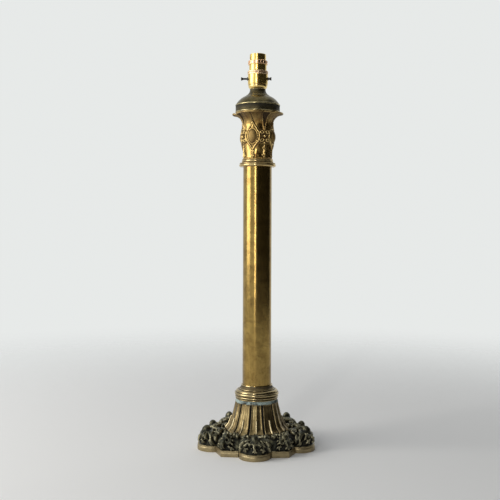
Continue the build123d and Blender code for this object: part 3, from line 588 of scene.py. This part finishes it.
def cut_inlet(foot):
    """Cuts the cable bush's hole square through the side of the foot."""
    low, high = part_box("cable_bush")
    outwards = Vector((math.cos(INLET_TURN), math.sin(INLET_TURN), 0))
    across = Vector((-outwards.y, outwards.x, 0))
    turns = [2 * math.pi * k / INLET_SIDES for k in range(INLET_SIDES)]
    points = [
        (low + high) / 2 + MM * (outwards * way + INLET_RADIUS * (across * math.cos(a) + UP * math.sin(a)))
        for way in INLET_ENDS
        for a in turns
    ]
    sides = [(k, (k + 1) % INLET_SIDES) for k in range(INLET_SIDES)]
    faces = [(a, b, b + INLET_SIDES, a + INLET_SIDES) for a, b in sides]
    faces += [tuple(range(INLET_SIDES))[::-1], tuple(range(INLET_SIDES, 2 * INLET_SIDES))]
    mesh = bpy.data.meshes.new("inlet_drill")
    mesh.from_pydata(points, [], faces)
    drill = added("inlet_drill", mesh)
    cut = foot.modifiers.new("inlet", "BOOLEAN")
    cut.operation, cut.solver, cut.object = "DIFFERENCE", "EXACT", drill
    whole_foot = foot.data
    cut_foot = foot.evaluated_get(bpy.context.evaluated_depsgraph_get())
    foot.data = bpy.data.meshes.new_from_object(cut_foot)
    foot.modifiers.clear()
    bpy.data.objects.remove(drill)
    bpy.data.meshes.remove(mesh)
    bpy.data.meshes.remove(whole_foot)
    return foot


# Capital ------------------------------

LEAVES = 4
LEAF_PITCH = 360 / LEAVES
LEAF_START = -17.0
# radii and heights over the capital's foot, up a leaf's middle and up the bell between two leaves
LEAF_LINE = [
    (24.2, 0), (24.2, 1.6), (23.3, 3.2), (22.9, 8), (23.4, 14), (24.2, 20), (25.0, 28), (25.4, 36),
    (25.0, 44), (24.3, 50), (24.6, 55), (26.2, 60), (28.9, 64), (32.6, 66.9), (36.8, 68.9), (40.2, 70.1),
]
BELL_LINE = LEAF_LINE[:8] + [
    (23.6, 44), (22.9, 50), (23.1, 55), (23.9, 60), (25.4, 64), (27.8, 67.3), (30.8, 69.8), (33.6, 71.0),
]
LEAF_RADIUS, LEAF_TIP = 25.0, 41.0  # where a leaf starts to spread, and how far it would reach
LEAF_LIP = [(0.8, 0.9), (0.6, 2.2), (-0.5, 3.0)]  # how far the tip's thick edge lies out and up from its end
CAPITAL_TOP = [
    (34.4, 71.6), (34.4, 73.3), (34.2, 73.5), (26, 73.5), (26, 71), (19.7, 52), (19.7, 4), (5.1, 4),
    (5.1, 0),
]
JEWEL_HALF_WIDTH, JEWEL_HALF_HEIGHT, JEWEL_MIDDLE = 6.9, 10.4, 35
CAPITAL_COLUMNS, CAPITAL_ROWS = 640, 210
PER_DEGREE = math.radians(25.2)  # millimetres round the bell for each degree


def smooth_line(points, steps):
    """A smooth line through points, at even steps of their count."""
    knots = np.array([points[0], *points, points[-1]], float)
    at = np.linspace(0, len(points) - 1.000001, steps)
    k = at.astype(int)
    t = (at - k)[:, None]
    a, b, c, d = (knots[k + i] for i in range(4))
    return b + 0.5 * t * (c - a + t * (2 * a - 5 * b + 4 * c - d + t * (3 * (b - c) + d - a)))


def from_jewel(x, z):
    """How far a point lies from a jewel's middle: 1 at the jewel's own edge."""
    return np.hypot(x / JEWEL_HALF_WIDTH, (z - JEWEL_MIDDLE) / JEWEL_HALF_HEIGHT)


def capital_relief(off, z, edge):
    """Height of the capital's ornament, from the angle off a leaf's middle and the height over its foot."""
    x = off * PER_DEGREE
    half = np.abs(x)
    strap = smooth_line([(0, 57), (3.6, 51), (8.8, 43), (11.4, 35), (8.8, 27), (3.6, 20), (0, 14.5)], 36)
    distance, _, side = nearest(half, z, strap)
    recess = -0.9 * smoothstep(0.9, 1.9, distance) * (side > 0)
    band = np.where(distance < 1.3, 1.3 * crowned(distance / 1.3), NOWHERE)
    oval = from_jewel(x, z)
    bezel = np.where((oval > 0.98) & (oval < 1.28), 1.0 - 14 * np.abs(oval - 1.13) ** 1.6, NOWHERE)
    moat = np.where((oval >= 0.9) & (oval < 1.06), -0.9, NOWHERE)
    jewel = np.where(oval < 1, 3.6 * crowned(oval), NOWHERE)
    corner = (LEAF_PITCH / 2 - np.abs(off)) * PER_DEGREE
    base_leaf = acanthus(x, z, (0, 3.0), (0, 8), (0, 15.5), 6.0, 1.4, pairs=2)
    side_leaf = acanthus(corner, z, (0, 3.0), (0, 9), (0, 22.0), 6.0, 1.3, pairs=2)
    top_leaf = leaflet(x, z, bezier((0, 46.5), (0, 50), (0, 54.5)), 1.9, 1.2)
    curl = cord_line(half, z, spiral((15.2, 40.6), 3.4, 200, -400, 0.7), 1.2, 1.6, 0.4)
    low_curl = cord_line(half, z, spiral((15.2, 29.4), 3.4, 160, 400, 0.7), 1.2, 1.6, 0.4)
    drops = [
        dome(x, z, (0, 59.5), 1.0, 1.0),
        dome(x, z, (0, 62.3), 0.8, 0.8),
        dome(corner, z, (0, 35), 2.4, 2.4),
        dome(corner, z, (0, 46.5), 1.3, 1.4),
        dome(corner, z, (0, 24.5), 1.2, 1.2),
    ]
    bead = crowned(edge - 0.8) * smoothstep(42, 46, z)
    vein = -0.6 * np.exp(-((x / 0.5) ** 2)) * smoothstep(63, 65, z)
    ribs = -0.07 * (1 + np.cos(np.radians(off) * 40)) * smoothstep(57, 62, z)
    plain = np.maximum(recess, moat) + bead + vein + ribs
    leaves = [base_leaf, side_leaf, top_leaf, curl, low_curl]
    return np.maximum.reduce([plain, band, bezel, jewel, *leaves, *drops])


def capital_form(off):
    """The capital's plain form at angles off a leaf's middle: radii, heights, the distance in from the
    leaf's edge, and 1 on the leaf falling to 0 on the bell behind it."""
    leaf_r, leaf_z = smooth_line(LEAF_LINE, CAPITAL_ROWS).T
    bell_r, bell_z = smooth_line(BELL_LINE, CAPITAL_ROWS).T
    half_width = LEAF_PITCH / 2 - 5.7 * (np.clip(leaf_z - 43, 0, None) / 16) ** 1.2
    edge = (half_width - np.abs(off)) * PER_DEGREE * leaf_r / LEAF_RADIUS
    on_leaf = smoothstep(-0.5, 0.5, edge)
    spread = (LEAF_TIP - 7 * (np.abs(off) / 35) ** 2.5 - LEAF_RADIUS) / (LEAF_TIP - LEAF_RADIUS)
    spread_r = LEAF_RADIUS + (leaf_r - LEAF_RADIUS) * np.where(leaf_z > 50, spread, 1)
    spread_r = np.where(leaf_r > LEAF_RADIUS, spread_r, leaf_r)
    r = bell_r + (np.maximum(spread_r, bell_r) - bell_r) * on_leaf
    z = bell_z + (leaf_z - bell_z) * on_leaf
    return r, z, edge, on_leaf


def leafed_capital():
    """The capital in one skin: four broad leaves on a bell, an oval jewel on each, and its hollow."""
    angles = np.linspace(0, 2 * np.pi, CAPITAL_COLUMNS, endpoint=False)
    off = np.mod(np.degrees(angles) - LEAF_START + LEAF_PITCH / 2, LEAF_PITCH)[:, None] - LEAF_PITCH / 2
    r, z, edge, on_leaf = capital_form(off)
    dr, dz = np.gradient(r, axis=1), np.gradient(z, axis=1)
    size = np.hypot(dr, dz)
    relief = blurred(capital_relief(off, z, edge), 1)
    turn = angles[:, None]
    relief = relief + 0.10 * ripple(r * np.cos(turn), r * np.sin(turn), z, 7, 11)
    relief = relief * smoothstep(0, 1.2, z) * smoothstep(0, 0.04, 1 - np.linspace(0, 1, CAPITAL_ROWS))
    crisp, proud = relief - blurred(relief, 6), relief - blurred(relief, 26)
    out_r, out_z = r + relief * dz / size, z - relief * dr / size
    tip_r, tip_z = out_r[:, -1:], out_z[:, -1:]
    lip = smoothstep(34.5, 38, tip_r)
    top = np.tile(CAPITAL_TOP, (CAPITAL_COLUMNS, 1, 1))
    radii = np.concatenate([out_r, *(tip_r + out * lip for out, _ in LEAF_LIP), top[..., 0]], 1)
    heights = np.concatenate([out_z, *(tip_z + up * lip for _, up in LEAF_LIP), top[..., 1]], 1)
    tail = len(LEAF_LIP) + len(CAPITAL_TOP)

    def whole(field, after):
        return np.concatenate([field, np.full((CAPITAL_COLUMNS, tail), after)], 1)

    jewel = from_jewel(off * PER_DEGREE, z) < 0.97
    bright = np.clip(proud / 1.4, 0, 1) * 0.7 + np.clip(crisp / 0.35, 0, 1) * 0.7
    bright = bright * np.where(jewel, 0.15, 0.7)
    # Painted shade with some tarnish: the relief's hollows, the top under the cap's rim and the bell behind
    # the flaring leaves are darkened; the jewel's darker stone is its own colour.
    dark = np.clip(-proud / 1.0, 0, 1) * 0.7 + np.clip(-crisp / 0.3, 0, 1) * 0.8
    dark = dark + 0.62 * smoothstep(53, 66, z) + 0.7 * (1 - on_leaf) * smoothstep(44, 50, z) + 0.5 * jewel
    grid = spun(radii, heights + foot_z("capital"), angles)
    return mesh_object("leafed_capital", grid, wrap_faces(grid), whole(bright, 0.4), whole(dark, 0.3))


# Materials ----------------------------


def feed(tree, socket, value):
    """Links an input to another node's output, or sets it."""
    if isinstance(value, bpy.types.NodeSocket):
        tree.links.new(value, socket)
    elif socket.type == "RGBA":
        socket.default_value = (*value, 1)
    else:
        socket.default_value = value


def make(tree, kind, inputs=(), **settings):
    """A new node with its settings and its inputs, each a value or another node's output."""
    made = tree.nodes.new(kind)
    for key, value in settings.items():
        setattr(made, key, value)
    for key, value in dict(inputs).items():
        feed(tree, made.inputs[key], value)
    return made


def place(tree):
    """The point in metres, from the lamp's origin."""
    return make(tree, "ShaderNodeTexCoord").outputs["Object"]


def stretched(tree, where, scale):
    return make(tree, "ShaderNodeMapping", {"Vector": where, "Scale": scale}).outputs["Vector"]


def noise(tree, where, scale, detail, rough, distortion=0.0):
    inputs = {"Vector": where, "Scale": scale, "Detail": detail, "Roughness": rough}
    return make(tree, "ShaderNodeTexNoise", {**inputs, "Distortion": distortion}).outputs["Fac"]


def attribute(tree, name):
    return make(tree, "ShaderNodeAttribute", attribute_name=name).outputs["Fac"]


def ramp(tree, factor, *stops):
    """Colours or greys along a factor: each stop is its place and its colour or value."""
    made = make(tree, "ShaderNodeValToRGB", {"Fac": factor})
    elements = made.color_ramp.elements
    while len(elements) < len(stops):
        elements.new(0.5)
    for element, (at, value) in zip(elements, stops):
        element.position = at
        element.color = (*value, 1) if isinstance(value, tuple) else (value, value, value, 1)
    return made.outputs["Color"]


def scaled(colour, share):
    return tuple(c * share for c in colour)


def mixed(tree, factor, first, second, blend="MIX"):
    """The second colour over the first."""
    inputs = {0: factor, 6: first, 7: second}
    return make(tree, "ShaderNodeMix", inputs, data_type="RGBA", blend_type=blend).outputs[2]


def between(tree, value, low, high, start=0.0, end=1.0, shape="LINEAR"):
    """A value that goes from start to end while another goes from low to high."""
    inputs = {"Value": value, "From Min": low, "From Max": high, "To Min": start, "To Max": end}
    return make(tree, "ShaderNodeMapRange", inputs, interpolation_type=shape).outputs["Result"]


def maths(tree, operation, first, second, clamp=False):
    settings = {"operation": operation, "use_clamp": clamp}
    return make(tree, "ShaderNodeMath", {0: first, 1: second}, **settings).outputs["Value"]


def bump(tree, height, distance, strength, under=None):
    inputs = {"Height": height, "Distance": distance, "Strength": strength}
    if under is not None:
        inputs["Normal"] = under
    return make(tree, "ShaderNodeBump", inputs).outputs["Normal"]


def blank(name):
    made = bpy.data.materials.new(name)
    made.use_nodes = True
    return made, made.node_tree


def surface(made, **sockets):
    """Sets the sockets of a material's shader, by their names with _ for a space."""
    for key, value in sockets.items():
        feed(made.node_tree, made.node_tree.nodes["Principled BSDF"].inputs[key.replace("_", " ")], value)
    return made


BRASS_GRAIN = 0.00006


def aged_brass(name, body, tarnish, bright, rough, mottle=80, spots=0.5, wear=0.7, grime_and_shade=0.8):
    """Old brass: mottled tarnish, small dark spots, bright worn edges, dirt and painted shade in its
    corners, a fine grain.
    """
    made, tree = blank(name)
    where = place(tree)
    broad = noise(tree, where, mottle, 6, 0.6, 0.4)
    fine = noise(tree, where, 900, 3, 0.6)
    cloud = ramp(tree, broad, (0.36, tarnish), (0.52, body), (0.70, scaled(body, 1.22)))
    speck = ramp(tree, noise(tree, where, 420, 2, 0.5), (0.60, 0.0), (0.69, spots))
    aged = mixed(tree, speck, cloud, scaled(tarnish, 0.35))
    streak = noise(tree, stretched(tree, where, (1, 1, 0.12)), 260, 4, 0.6)
    streak = ramp(tree, streak, (0.35, 0.86), (0.65, 1.08))
    aged = mixed(tree, 0.6, aged, streak, "MULTIPLY")
    worn = maths(tree, "MULTIPLY", attribute(tree, "worn"), wear, True)
    worn = maths(tree, "MULTIPLY", worn, ramp(tree, broad, (0.3, 0.55), (0.6, 1.0)))
    polished = mixed(tree, worn, aged, bright)
    # dirt and painted shade: corners and hollows darken towards the tarnish's darkest tone
    dirt_and_shade = maths(tree, "MULTIPLY", attribute(tree, "dirt_and_shade"), grime_and_shade, True)
    colour = mixed(tree, dirt_and_shade, polished, scaled(tarnish, 0.16))
    matt = ramp(tree, fine, (0.3, rough - 0.05), (0.7, rough + 0.08))
    matt = mixed(tree, dirt_and_shade, matt, (0.8, 0.8, 0.8))
    matt = mixed(tree, worn, matt, (rough * 0.75,) * 3)
    metal = maths(tree, "SUBTRACT", 1.0, maths(tree, "MULTIPLY", dirt_and_shade, 0.7))
    normal = bump(tree, fine, BRASS_GRAIN, 0.6)
    normal = bump(tree, broad, BRASS_GRAIN * 4, 0.35, normal)
    return surface(made, Base_Color=colour, Roughness=matt, Metallic=metal, Normal=normal)


CRUST = (0.0688, 0.0702)  # heights over which the crust sets in at the foot's neck, in metres


def foot_bronze():
    """The foot: dull gold flutes, blackened ornament with worn highs, a pale green crust at the neck, and
    painted shade with grime that blackens its grooves, pits and hollows.
    """
    made, tree = blank("foot_bronze")
    where = place(tree)
    worn = attribute(tree, "worn")
    dirt_and_shade = attribute(tree, "dirt_and_shade")
    carved = attribute(tree, "carved")
    broad = noise(tree, where, 70, 6, 0.62, 0.5)
    fine = noise(tree, where, 700, 4, 0.6)

    dull, mid, clear = (0.11, 0.08, 0.035), (0.21, 0.155, 0.07), (0.32, 0.25, 0.12)
    gold = ramp(tree, broad, (0.33, dull), (0.52, mid), (0.72, clear))
    # painted shade with grime: grooves, pits and hollows go near black
    gold = mixed(tree, maths(tree, "MULTIPLY", dirt_and_shade, 1.0, True), gold, (0.006, 0.006, 0.004))
    gold = mixed(tree, maths(tree, "MULTIPLY", worn, 0.75, True), gold, (0.72, 0.60, 0.36))

    soot, olive, khaki = (0.014, 0.015, 0.011), (0.045, 0.045, 0.030), (0.16, 0.145, 0.085)
    black = ramp(tree, broad, (0.35, soot), (0.52, olive), (0.70, khaki))
    highs = ramp(tree, fine, (0.3, (0.20, 0.18, 0.105)), (0.7, (0.46, 0.42, 0.28)))
    rubbed = maths(tree, "MULTIPLY", worn, ramp(tree, broad, (0.32, 0.45), (0.62, 1.0)), True)
    dark = mixed(tree, rubbed, black, highs)
    # painted shade with grime: the ornament's pits and hollows go near black
    dark = mixed(tree, maths(tree, "MULTIPLY", dirt_and_shade, 0.9, True), dark, (0.004, 0.004, 0.003))
    colour = mixed(tree, carved, gold, dark)

    height = make(tree, "ShaderNodeSeparateXYZ", {"Vector": where}).outputs["Z"]
    uneven = maths(tree, "SUBTRACT", noise(tree, where, 190, 5, 0.7), 0.5)
    level = maths(tree, "ADD", height, maths(tree, "MULTIPLY", uneven, 0.006))
    edge = between(tree, level, *CRUST)
    crust = mixed(tree, ramp(tree, fine, (0.35, 0.0), (0.65, 1.0)), (0.20, 0.27, 0.25), (0.50, 0.60, 0.57))
    gaps = ramp(tree, noise(tree, where, 45, 4, 0.6, 0.4), (0.40, 0.03), (0.53, 1.0))
    crust = mixed(tree, 1.0, crust, gaps, "MULTIPLY")
    colour = mixed(tree, edge, colour, crust)

    gold_matt = ramp(tree, fine, (0.3, 0.25), (0.7, 0.38))
    dark_matt = ramp(tree, fine, (0.3, 0.28), (0.7, 0.46))
    matt = mixed(tree, carved, gold_matt, dark_matt)
    matt = mixed(tree, maths(tree, "MAXIMUM", edge, dirt_and_shade), matt, (0.85, 0.85, 0.85))
    clean = maths(tree, "SUBTRACT", 0.95, maths(tree, "MULTIPLY", dirt_and_shade, 0.7))
    metal = maths(tree, "MULTIPLY", maths(tree, "SUBTRACT", 1.0, edge), clean)
    normal = bump(tree, fine, 0.0002, 0.7)
    normal = bump(tree, noise(tree, where, 260, 5, 0.6), 0.0005, 0.45, normal)
    return surface(made, Base_Color=colour, Roughness=matt, Metallic=metal, Normal=normal)


def polished_brass(name, body, deep, rough):
    """Bright lacquered brass: fine turning lines, faint smears, and corners darkened by dirt and painted
    shade.
    """
    made, tree = blank(name)
    where = place(tree)
    smear = noise(tree, where, 130, 5, 0.6, 0.6)
    lines = noise(tree, stretched(tree, where, (0.05, 0.05, 1)), 4200, 2, 0.5)
    colour = ramp(tree, smear, (0.32, deep), (0.55, body))
    # dirt and painted shade in the corners
    dirt_and_shade = maths(tree, "MULTIPLY", attribute(tree, "dirt_and_shade"), 0.85, True)
    colour = mixed(tree, dirt_and_shade, colour, scaled(deep, 0.2))
    worn = maths(tree, "MULTIPLY", attribute(tree, "worn"), 0.4, True)
    colour = mixed(tree, worn, colour, (0.95, 0.80, 0.50))
    matt = ramp(tree, smear, (0.3, rough + 0.1), (0.65, rough))
    normal = bump(tree, lines, 0.00003, 0.5)
    return surface(made, Base_Color=colour, Roughness=matt, Metallic=1.0, Normal=normal)


def plain_metal(name, body, rough):
    """Dull metal of the hidden fasteners, with a fine grain and stains."""
    made, tree = blank(name)
    where = place(tree)
    stain = noise(tree, where, 150, 5, 0.6)
    grain = noise(tree, where, 1500, 2, 0.5)
    colour = ramp(tree, stain, (0.35, scaled(body, 0.6)), (0.6, body))
    matt = ramp(tree, stain, (0.3, rough + 0.15), (0.7, rough))
    normal = bump(tree, grain, 0.00004, 0.5)
    return surface(made, Base_Color=colour, Roughness=matt, Metallic=1.0, Normal=normal)


def moulded(name, body, rough, dust):
    """Moulded plastic with a faint moulding texture and a little dust."""
    made, tree = blank(name)
    where = place(tree)
    cloud = noise(tree, where, 240, 5, 0.65)
    grain = noise(tree, where, 2600, 2, 0.5)
    colour = mixed(tree, ramp(tree, cloud, (0.5, 0.0), (0.8, 0.5)), body, dust)
    matt = ramp(tree, cloud, (0.3, rough), (0.7, rough + 0.2))
    return surface(made, Base_Color=colour, Roughness=matt, Normal=bump(tree, grain, 0.00003, 0.5))


METALS = {
    "rod_brass": ((0.50, 0.39, 0.19), 0.38),
    "contact_brass": ((0.80, 0.62, 0.32), 0.28),
    "zinc_steel": ((0.48, 0.48, 0.46), 0.42),
    "spring_steel": ((0.52, 0.52, 0.52), 0.30),
}
PLASTICS = {
    "insulator": ((0.74, 0.71, 0.62), 0.35, (0.55, 0.50, 0.40)),
    "switch_plastic": ((0.012, 0.011, 0.010), 0.28, (0.05, 0.045, 0.04)),
    "bush_plastic": ((0.030, 0.024, 0.018), 0.45, (0.08, 0.07, 0.05)),
}
looks = {
    "foot_bronze": foot_bronze(),
    "column_brass": aged_brass(
        "column_brass", (0.33, 0.22, 0.068), (0.25, 0.158, 0.047), (0.70, 0.53, 0.26), 0.17, mottle=75
    ),
    "collar_brass": aged_brass(
        "collar_brass", (0.20, 0.145, 0.062), (0.11, 0.08, 0.035), (0.55, 0.44, 0.24), 0.22
    ),
    "capital_brass": aged_brass(
        "capital_brass", (0.50, 0.33, 0.105), (0.29, 0.155, 0.04), (0.90, 0.70, 0.32), 0.22,
        spots=0.4, wear=0.6, grime_and_shade=1.0,
    ),
    "cap_brass": aged_brass(
        "cap_brass", (0.100, 0.078, 0.032), (0.048, 0.040, 0.017), (0.55, 0.46, 0.24), 0.28,
        wear=0.75, grime_and_shade=0.9,
    ),
    "holder_brass": polished_brass("holder_brass", (0.86, 0.62, 0.19), (0.66, 0.43, 0.10), 0.17),
    "ring_brass": polished_brass("ring_brass", (0.84, 0.56, 0.34), (0.60, 0.33, 0.17), 0.22),
    **{name: plain_metal(name, *look) for name, look in METALS.items()},
    **{name: moulded(name, *look) for name, look in PLASTICS.items()},
}
slot_of_node = {row["node"]: row["material_slot"] for row in frame["record"]["subparts"]}
for name, node in frame["nodes"].items():
    node.data.materials.clear()
    node.data.materials.append(looks[slot_of_node[name]])

LAMP = "lamp"

# Turned pieces ------------------------

# radii and heights over the piece's foot, up the outside and down the inside
OUTLINES = {
    "base_collar": [
        (32.9, 0), (33.1, 0.3), (33.1, 1.6), (32.6, 2.05),
        *arc((33.2, 2.4), (33.9, 3.9), (33.2, 5.4)), (32.8, 5.7),
        *arc((33.4, 6.0), (34.7, 8.2), (33.3, 10.7)), (32.7, 11.0),
        *arc((33.0, 11.3), (32.1, 13.4), (29.9, 14.6)), (28.5, 14.75),
        *arc((27.5, 14.9), (27.9, 15.6), (27.4, 16.3)), (26.4, 16.5),
        *arc((26.2, 17.0), (24.8, 18.7), (24.4, 20.6)), (24.7, 21.2), (24.3, 22.0),
        (22.6, 22.0), (22.6, 4.0), (20, 4.0), (20, 0),
    ],
    "column_top_ring": [
        (22.6, 0), (27.2, 0), *arc((27.5, 0.2), (28.9, 2.2), (28.0, 4.4)), (27.6, 4.6),
        *arc((27.6, 4.9), (28.2, 5.6), (27.4, 6.3)), (25.2, 6.4), (24.1, 7.2),
        *arc((24.1, 7.4), (24.8, 8.8), (24.1, 10.2)), (23.8, 10.4),
        *arc((23.9, 10.6), (24.3, 11.05), (23.9, 11.5), 4), (20, 11.5), (20, 3.5), (22.6, 3.5),
    ],
    "dome_cap": [
        (34.5, 0), (35.2, 0.6), (35.2, 1.7), (34.6, 2.3), (34.8, 3.0), (34.7, 10.4),
        *arc((34.7, 10.6), (35.25, 11.9), (34.5, 13.2)), (33.9, 13.5),
        *arc((33.7, 13.9), (30.6, 18.3), (18.9, 26.3), 24), (18.6, 27.2), (17.4, 27.9),
        *arc((17.0, 28.1), (13.4, 32.2), (12.3, 36.9), 16), (12.5, 37.3), (12.2, 37.7),
        (5.1, 37.7), (5.1, 34.7), (9.6, 34.7), (9.6, 27), (22.5, 19.5), (30, 12), (30, 0),
    ],
    "holder_cap": [
        (12.6, 0, 0.3), *arc((12.7, 0.2), (14.3, 2.2), (15.0, 5.4)), (14.7, 5.75), (15.0, 6.1), (15.4, 6.3),
        (15.4, 7.1, 0.2), (13.4, 7.1), (13.4, 6.2), (11.4, 1.5), (7.5, 1.5), (7.5, 6.7), (5.05, 6.7),
        (5.05, 0),
    ],
    "barrel_ring": [
        (15.3, 0, 0.2), *arc((15.7, 0.2), (16.2, 1.6), (16.1, 3.0)), (15.8, 3.3), (16.1, 3.6),
        *arc((16.2, 4.0), (16.1, 5.2), (15.5, 6.1)), (15.2, 6.3, 0.2), (13.8, 6.3, 0.2), (13.8, 4.8),
        (15.0, 4.8), (15.0, 0),
    ],
}


def lathed(name, material, slot, scallops=0):
    """Swaps a node for the same form with finer turned mouldings."""
    low = foot_z(name)
    outline = [(point[0], point[1] + low, *point[2:]) for point in OUTLINES[name]]
    dress(turned(name + "_turned", outline, scallops), material, LAMP, slot, name)


# Pieces -------------------------------

dress(cut_inlet(foot_casting()), looks["foot_bronze"], LAMP, "foot_bronze", "base_casting")
lathed("base_collar", looks["collar_brass"], "column_brass")
lathed("column_top_ring", looks["column_brass"], "column_brass")
dress(leafed_capital(), looks["capital_brass"], LAMP, "capital_brass", "capital")
lathed("dome_cap", looks["cap_brass"], "cap_brass")
lathed("holder_cap", looks["holder_brass"], "holder_brass")
lathed("barrel_ring", looks["ring_brass"], "holder_brass", scallops=32)
frame["nodes"]["shade_ring"].data.materials[0] = looks["ring_brass"]

# Stage, light and camera --------------

FLOOR_SIZE = 24.0
FLOOR_FADE = (0.25, 1.6)  # distances from the lamp between which the floor fades into the backdrop
SHADE_SHEET_RADIUS, SHADE_SHEET_HEIGHT = 1.6, 3.0
SHADE_SHEET_SWEEP = (-99, 34)  # degrees round the lamp that the near-black shade sheet covers, from behind the camera to the lamp's right
SHADE_SHEET_STEPS = 34


def sheet(name, points, faces, material):
    """A sheet of the stage, in metres."""
    mesh = bpy.data.meshes.new(name)
    mesh.from_pydata(points, [], faces)
    mesh.materials.append(material)
    return added(name, mesh)


floor_paint, floor_tree = blank("floor_paint")
far = make(floor_tree, "ShaderNodeVectorMath", {0: place(floor_tree)}, operation="LENGTH").outputs["Value"]
fade = between(floor_tree, far, *FLOOR_FADE, 1.0, 0.0, "SMOOTHSTEP")
surface(floor_paint, Base_Color=(0.90, 0.905, 0.90), Roughness=0.9, Alpha=fade)
half = FLOOR_SIZE / 2
floor_corners = [(-half, -half, 0), (half, -half, 0), (half, half, 0), (-half, half, 0)]
floor = sheet("floor", floor_corners, [(0, 1, 2, 3)], floor_paint)

# A near-black sheet round the lamp's right that stands in for shade: it darkens that side and what it
# reflects.
shade_sheet_cloth = surface(blank("shade_sheet_cloth")[0], Base_Color=(0.03, 0.028, 0.025), Roughness=1.0)
shade_sheet_points = [
    (SHADE_SHEET_RADIUS * math.cos(a), SHADE_SHEET_RADIUS * math.sin(a), z)
    for a in np.radians(np.linspace(*SHADE_SHEET_SWEEP, SHADE_SHEET_STEPS))
    for z in (0, SHADE_SHEET_HEIGHT)
]
shade_sheet_faces = [(2 * i, 2 * i + 2, 2 * i + 3, 2 * i + 1) for i in range(SHADE_SHEET_STEPS - 1)]
shade_sheet = sheet("shade_sheet", shade_sheet_points, shade_sheet_faces, shade_sheet_cloth)

world = bpy.data.worlds.new("studio")
world.use_nodes = True
bpy.context.scene.world = world
sky = world.node_tree
ray = make(sky, "ShaderNodeLightPath").outputs
seen = maths(sky, "ADD", ray["Is Camera Ray"], ray["Is Glossy Ray"])
seen = maths(sky, "ADD", seen, ray["Is Transmission Ray"], True)
sky_colour = mixed(sky, seen, (0.50, 0.51, 0.52), (0.80, 0.82, 0.81))
feed(sky, sky.nodes["Background"].inputs["Color"], sky_colour)

WARM_WHITE = (1.0, 0.97, 0.92)


def soft_light(name, spot, target, width, height, power):
    """A flat light, in metres and watts, that faces its target."""
    data = bpy.data.lights.new(name, "AREA")
    data.shape = "RECTANGLE"
    data.size, data.size_y = width, height
    data.energy = power
    data.color = WARM_WHITE
    made = added(name, data)
    made.location = spot
    made.rotation_mode = "QUATERNION"
    made.rotation_quaternion = (Vector(target) - Vector(spot)).to_track_quat("-Z", "Y")


soft_light("window", (-1.7, -0.5, 0.95), (0, 0, 0.25), 1.1, 1.6, 22)
soft_light("strip", (-0.52, -1.95, 0.70), (0, 0, 0.3), 0.10, 1.3, 8)

FOCAL_PIXELS = 794
FRAME_PIXELS = 500
SENSOR_WIDTH = 36
CAMERA_DISTANCE = 1.249
CAMERA_HEIGHT = 0.341
CAMERA_TURN = math.radians(1.8)  # round the lamp, to its right
CAMERA_LEAN = math.radians(-0.21)
camera_data = bpy.data.cameras.new("camera")
camera_data.sensor_width = SENSOR_WIDTH
camera_data.lens = SENSOR_WIDTH * FOCAL_PIXELS / FRAME_PIXELS
camera_data.shift_x, camera_data.shift_y = -0.0146, -0.0442
camera = added("camera", camera_data)
camera.location.x = CAMERA_DISTANCE * math.sin(CAMERA_TURN)
camera.location.y = -CAMERA_DISTANCE * math.cos(CAMERA_TURN)
camera.location.z = CAMERA_HEIGHT
camera.rotation_euler = (math.radians(90), CAMERA_LEAN, CAMERA_TURN)
bpy.context.scene.camera = camera
bpy.context.scene.view_settings.view_transform = "Standard"
